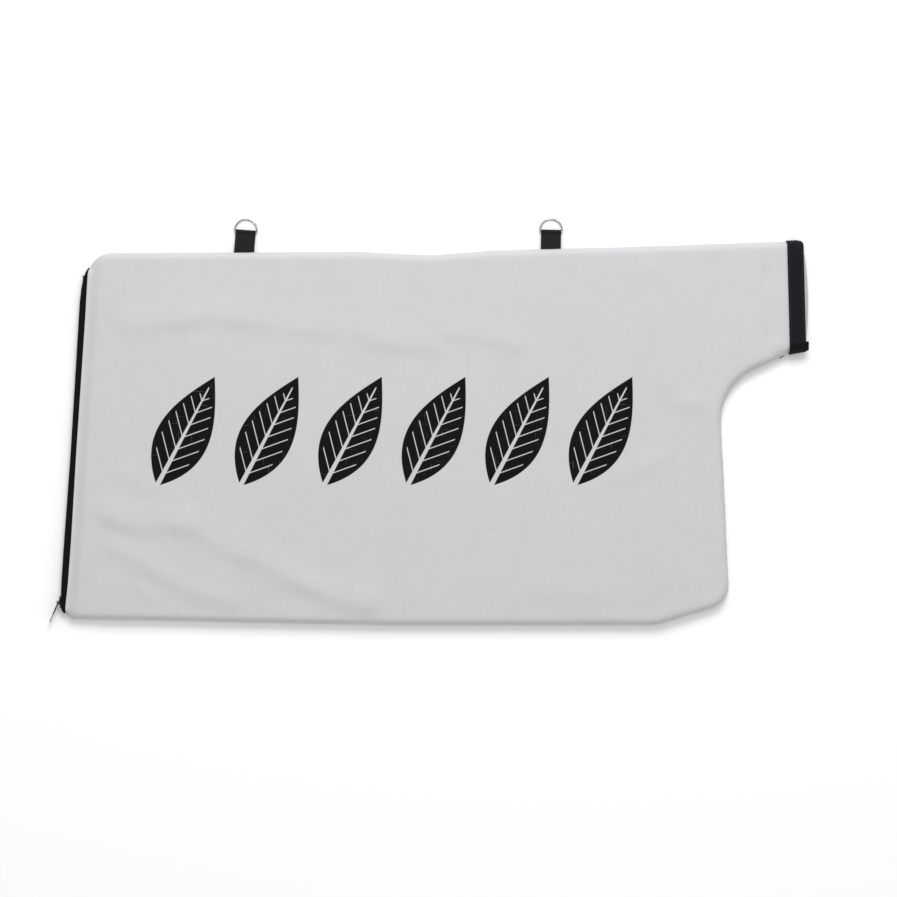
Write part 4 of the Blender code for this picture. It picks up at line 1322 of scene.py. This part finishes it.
def neck_section(inset, offset, relief=0.0, ribs=1):
    """Points and outward directions round the neck, offset from the panels, with ribs of a relief."""
    loop, _ = neck_loop(inset)
    ahead = np.roll(loop, -1, axis=0) - np.roll(loop, 1, axis=0)
    out = np.column_stack((np.zeros(len(loop)), -ahead[:, 2], ahead[:, 1]))
    out /= np.linalg.norm(out, axis=1)[:, None]
    wave = np.cos(np.arange(len(loop)) / len(loop) * ribs * math.tau)
    return loop + out * (offset + relief / 2.0 * wave)[:, None], out


class LeafBagNeckBand(bpy.types.Operator):
    """Make the ribbed webbing band round the mouth, with its overlap and stitches"""

    bl_idname = "object.leaf_bag_neck_band"
    bl_label = "Neck Band"

    def execute(self, context):
        settings = context.scene.leaf_bag_webbing
        webbing = webbing_finish("band webbing", settings.band_colour, 0.0009, 1.5, ribbed=1.0)
        plain = webbing_finish("band end webbing", settings.band_colour, 0.0009, 2.6)
        thread = thread_finish("webbing thread", settings.thread_colour)
        body = BAND_THICKNESS - settings.rib_relief
        offset = WALL / 2.0 + GAP + BAND_THICKNESS / 2.0
        ribs = round(neck_loop(BAND_INSET)[1] / settings.rib_pitch)
        sections = []
        for row in range(BAND_ROWS):
            inset = BAND_INSET + BAND_WIDTH * row / (BAND_ROWS - 1.0)
            sections.append([Vector(point) for point in neck_section(inset, offset, settings.rib_relief, ribs)[0]])
        surface = swept(sections, section_closed=True, ribs=ribs)
        band = add_piece("neck_band_webbing", surface, [webbing], BODY, ["neck_band"])
        thicken(band, body, even=False)
        bm = bmesh.new()
        for inset in (BAND_STITCH_INSET, BAND_WIDTH - BAND_STITCH_INSET):
            points, out = neck_section(BAND_INSET + inset, offset + BAND_THICKNESS / 2.0 - 0.00005)
            add_stitch_row(bm, points, out, settings.stitch_pitch, *BAND_STITCH)
        ends = [Vector((x, float(OUTLINE.neck_seam.y_at(x)) - THREAD_OUT, SEAM_HEIGHT)) for x in THREAD_END]
        add_stitch(bm, *ends, Vector((0.0, 0.0, 1.0)), *THREAD_SIZE)
        add_piece("neck_band_stitches", bm, [thread], BODY)
        self.patch(plain, offset + BAND_THICKNESS + settings.rib_relief / 2.0 + PATCH_GAP)
        return {"FINISHED"}

    @staticmethod
    def patch(webbing, offset):
        """End of the webbing, which laps over the band at the low end of the mouth."""
        sections = []
        for row in range(BAND_ROWS):
            inset = BAND_INSET + (BAND_WIDTH + PATCH_REACH) * row / (BAND_ROWS - 1.0) - PATCH_REACH
            points, _ = neck_section(inset, offset)
            low = points[:, 1].min()
            upper = Run([point for point in points[:BAND_LOOP_POINTS // 2] if point[1] < low + PATCH_LENGTH])
            sections.append([upper.at(place) for place in np.linspace(*upper.reached[[1, -1]], PATCH_POINTS)])
        piece = add_piece("neck_band_overlap", swept(sections), [webbing], BODY)
        thicken(piece, PATCH_THICKNESS, even=False)


def hanger_matrix(side):
    """Place of a hanger: origin at the seam, Y out along the tab and X across it."""
    x, _, lean = TABS[side]
    stand_off = GAP + TAB_WIDTH / 2.0 * abs(math.sin(lean))
    y = float(OUTLINE.top_seam.y_at(x)) + stand_off
    tilt = Matrix.Rotation(lean, 4, "Z") @ Matrix.Rotation(-TAB_SLOPE, 4, "X")
    return Matrix.Translation((x, y + GAP, SEAM_HEIGHT + (WALL + GAP) / 2.0)) @ tilt


def tab_loop_radius():
    """Radius of the webbing's middle surface round the ring's bar."""
    return RING_WIRE / 2.0 + GAP + TAB_THICKNESS / 2.0


def bar_reach(side):
    """Distance from the seam to the ring's bar."""
    return TABS[side][1] - tab_loop_radius() - TAB_THICKNESS / 2.0


def tab_profile(side):
    """Middle line of the folded strip, from inside the seam round the bar and back."""
    radius = tab_loop_radius()
    leg = (TAB_THICKNESS + GAP) / 2.0
    reach = bar_reach(side)
    neck = reach - 2.0 * radius
    profile = [(neck - (neck + TAB_ROOT) * (1.0 - step / TAB_LEG_STEPS), -leg) for step in range(TAB_LEG_STEPS + 1)]
    for step in range(TAB_LOOP_STEPS + 1):
        angle = TAB_LOOP_SWEEP * (2.0 * step / TAB_LOOP_STEPS - 1.0)
        profile.append((reach + radius * math.cos(angle), radius * math.sin(angle)))
    return profile + [(y, leg) for y, _ in reversed(profile[:TAB_LEG_STEPS + 1])]


def ring_path():
    """Closed D in its own plane, with the middle of its straight bar at the origin."""
    half = (TAB_WIDTH + RING_WIRE) / 2.0 + GAP
    corners = [(0.0, 0.0, 0.0), (half, 0.0, RING_CORNER), (half, RING_HEIGHT, RING_BOW_RADIUS),
               (-half, RING_HEIGHT, RING_BOW_RADIUS), (-half, 0.0, RING_CORNER), (0.0, 0.0, 0.0)]
    return rounded_run(corners)[:-1]


def ring_mesh(weld):
    """Wire that follows the D, with a weld bead at the top of its bow."""
    path = ring_path()
    weld_place = Vector((WELD_X, RING_HEIGHT))
    sections = []
    for index, point in enumerate(path):
        ahead = (path[(index + 1) % len(path)] - path[index - 1]).normalized()
        across = Vector((ahead.y, -ahead.x, 0.0))
        radius = RING_WIRE / 2.0 + weld * math.exp(-(((point - weld_place).length / WELD_HALF_WIDTH) ** 2))
        ring = []
        for side in range(RING_SIDES):
            angle = math.tau * side / RING_SIDES
            rise = Vector((0.0, 0.0, radius * math.sin(angle)))
            ring.append(point.to_3d() + across * radius * math.cos(angle) + rise)
        sections.append(ring)
    return swept(sections, section_closed=True, path_closed=True)


class LeafBagHangers(bpy.types.Operator):
    """Make the webbing tabs in the top seam with their stitches and D-rings"""

    bl_idname = "object.leaf_bag_hangers"
    bl_label = "Hanger Tabs and Rings"

    def execute(self, context):
        settings = context.scene.leaf_bag_webbing
        rings = context.scene.leaf_bag_rings
        webbing = webbing_finish("tab webbing", settings.tab_colour, 0.0010, 1.35)
        thread = thread_finish("tab thread", settings.thread_colour)
        steel = metal_finish("ring steel", rings.colour, 0.20, 0.10)
        for side in TABS:
            place = hanger_matrix(side)
            profile = tab_profile(side)
            sections = []
            for column in range(TAB_COLUMNS + 1):
                x = TAB_WIDTH * (column / TAB_COLUMNS - 0.5)
                sections.append([place @ Vector((x, y, z)) for y, z in profile])
            tab = add_piece(f"hanger_tab_{side}_webbing", swept(sections), [webbing], BODY,
                            [f"hanger_tab_{side}"])
            thicken(tab, TAB_THICKNESS)
            self.stitch(side, place, thread, settings.stitch_pitch)
            ring = ring_mesh(rings.weld)
            bar_height = place.translation.z - bar_reach(side) * math.sin(TAB_SLOPE)
            tilt = math.asin((bar_height - RING_WIRE / 2.0) / RING_HEIGHT)
            seat = Matrix.Translation((0.0, bar_reach(side), 0.0)) @ Matrix.Rotation(TAB_SLOPE - tilt, 4, "X")
            bmesh.ops.transform(ring, matrix=place @ seat, verts=ring.verts)
            add_piece(f"d_ring_{side}_wire", ring, [steel], f"{side}_ring", [f"d_ring_{side}"],
                      sharp=70.0)
        return {"FINISHED"}

    @staticmethod
    def stitch(side, place, thread, pitch):
        """Square of stitches through both layers of the tab."""
        half = TAB_WIDTH / 2.0 - TAB_STITCH_INSET
        low = TAB_STITCH_INSET * 0.8
        high = bar_reach(side) - 2.0 * tab_loop_radius() - 0.0004
        top = TAB_THICKNESS + GAP / 2.0
        corners = [(-half, low), (half, low), (half, high), (-half, high), (-half, low)]
        bm = bmesh.new()
        for level in (top, -top):
            up = place.to_3x3() @ Vector((0.0, 0.0, math.copysign(1.0, level)))
            for first, second in zip(corners, corners[1:]):
                points = [place @ Vector((*end, level)) for end in (first, second)]
                add_stitch_row(bm, points, [up] * 2, pitch * 0.8, *TAB_STITCH)
        add_piece(f"hanger_tab_{side}_stitches", bm, [thread], BODY)


class LeafBagStageMake(bpy.types.Operator):
    """Make the floor, the light and the camera"""

    bl_idname = "object.leaf_bag_stage"
    bl_label = "Stage"

    def execute(self, context):
        settings = context.scene.leaf_bag_stage
        self.floor(settings)
        self.light(settings)
        self.camera(context, settings)
        context.scene.view_settings.view_transform = "Standard"
        return {"FINISHED"}

    @staticmethod
    def floor(settings):
        """White floor that keeps the bag's shadow."""
        bm = bmesh.new()
        place = Matrix.Translation(FLOOR_PLACE)
        bmesh.ops.create_grid(bm, x_segments=1, y_segments=1, size=FLOOR_REACH, matrix=place)
        mesh = bpy.data.meshes.new("floor")
        bm.to_mesh(mesh)
        bm.free()
        floor = bpy.data.objects.new("floor", mesh)
        bpy.context.scene.collection.objects.link(floor)
        finish = Finish("floor white")
        finish.set(Base_Color=(0.96, 0.96, 0.96), Roughness=1.0, Specular_IOR_Level=0.0)
        seen = finish.node("ShaderNodeLightPath", output="Is Camera Ray")
        finish.set(Emission_Color=finish.mix(seen, (0.0, 0.0, 0.0), (1.0, 1.0, 1.0)),
                   Emission_Strength=settings.floor_lift)
        mesh.materials.append(finish.material)

    @staticmethod
    def light(settings):
        """Even sky that the camera sees as white, and a large soft lamp from the top of the picture."""
        world = bpy.data.worlds.new("studio")
        bpy.context.scene.world = world
        world.use_nodes = True
        tree = world.node_tree
        background = tree.nodes["Background"]
        path = tree.nodes.new("ShaderNodeLightPath")
        level = tree.nodes.new("ShaderNodeMix")
        tree.links.new(path.outputs["Is Camera Ray"], level.inputs[0])
        level.inputs[2].default_value = settings.sky
        level.inputs[3].default_value = 1.0
        tree.links.new(level.outputs[0], background.inputs["Strength"])
        background.inputs["Color"].default_value = (1.0, 1.0, 1.0, 1.0)
        towards = Vector(LAMP_DIRECTION).normalized()
        lamp_data = bpy.data.lights.new("soft lamp", "AREA")
        lamp_data.size = settings.lamp_size
        # A lamp of power P gives P / (pi * distance^2) straight ahead of it, and white floor needs pi of that
        lamp_data.energy = settings.lamp * (math.pi * settings.lamp_distance) ** 2 / towards.z
        lamp = bpy.data.objects.new("soft lamp", lamp_data)
        lamp.location = towards * settings.lamp_distance
        lamp.rotation_euler = (-towards).to_track_quat("-Z", "Y").to_euler()
        bpy.context.scene.collection.objects.link(lamp)

    @staticmethod
    def camera(context, settings):
        """Camera that looks straight down at the bag."""
        data = bpy.data.cameras.new("camera")
        data.sensor_width = 36.0
        data.lens = data.sensor_width * (settings.camera_height - BODY_HEIGHT / 2.0) / settings.frame_width
        camera = bpy.data.objects.new("camera", data)
        camera.location = (*PICTURE_MIDDLE, settings.camera_height)
        context.scene.collection.objects.link(camera)
        context.scene.camera = camera


class LeafBagPanel(bpy.types.Panel):
    """Buttons and sizes of the leaf collection bag"""

    bl_idname = "VIEW3D_PT_leaf_bag"
    bl_label = "Leaf Bag"
    bl_space_type = "VIEW_3D"
    bl_region_type = "UI"
    bl_category = "Leaf Bag"

    def draw(self, context):
        layout = self.layout
        for operator in MAKERS:
            layout.operator(operator.bl_idname)
        for name, group in SETTINGS.items():
            box = layout.box()
            box.label(text=group.__doc__)
            for prop in group.__annotations__:
                box.prop(getattr(context.scene, name), prop)


SETTINGS = {
    "leaf_bag_cloth": LeafBagCloth,
    "leaf_bag_zip": LeafBagZip,
    "leaf_bag_webbing": LeafBagWebbing,
    "leaf_bag_rings": LeafBagRings,
    "leaf_bag_stage": LeafBagStage,
}
MAKERS = (LeafBagPanels, LeafBagZipMake, LeafBagSlider, LeafBagNeckBand, LeafBagHangers, LeafBagStageMake)


def register():
    """Registers the settings, the operators and the panel."""
    for name, group in SETTINGS.items():
        bpy.utils.register_class(group)
        setattr(bpy.types.Scene, name, bpy.props.PointerProperty(type=group))
    for operator in MAKERS:
        bpy.utils.register_class(operator)
    bpy.utils.register_class(LeafBagPanel)


def unregister():
    """Takes the panel, the operators and the settings out again."""
    bpy.utils.unregister_class(LeafBagPanel)
    for operator in reversed(MAKERS):
        bpy.utils.unregister_class(operator)
    for name, group in reversed(SETTINGS.items()):
        delattr(bpy.types.Scene, name)
        bpy.utils.unregister_class(group)


def main():
    """Registers the settings and builds every piece in order."""
    register()
    bpy.ops.object.leaf_bag_panels()
    bpy.ops.object.leaf_bag_zip()
    bpy.ops.object.leaf_bag_slider()
    bpy.ops.object.leaf_bag_neck_band()
    bpy.ops.object.leaf_bag_hangers()
    bpy.ops.object.leaf_bag_stage()


if __name__ == "__main__":
    main()
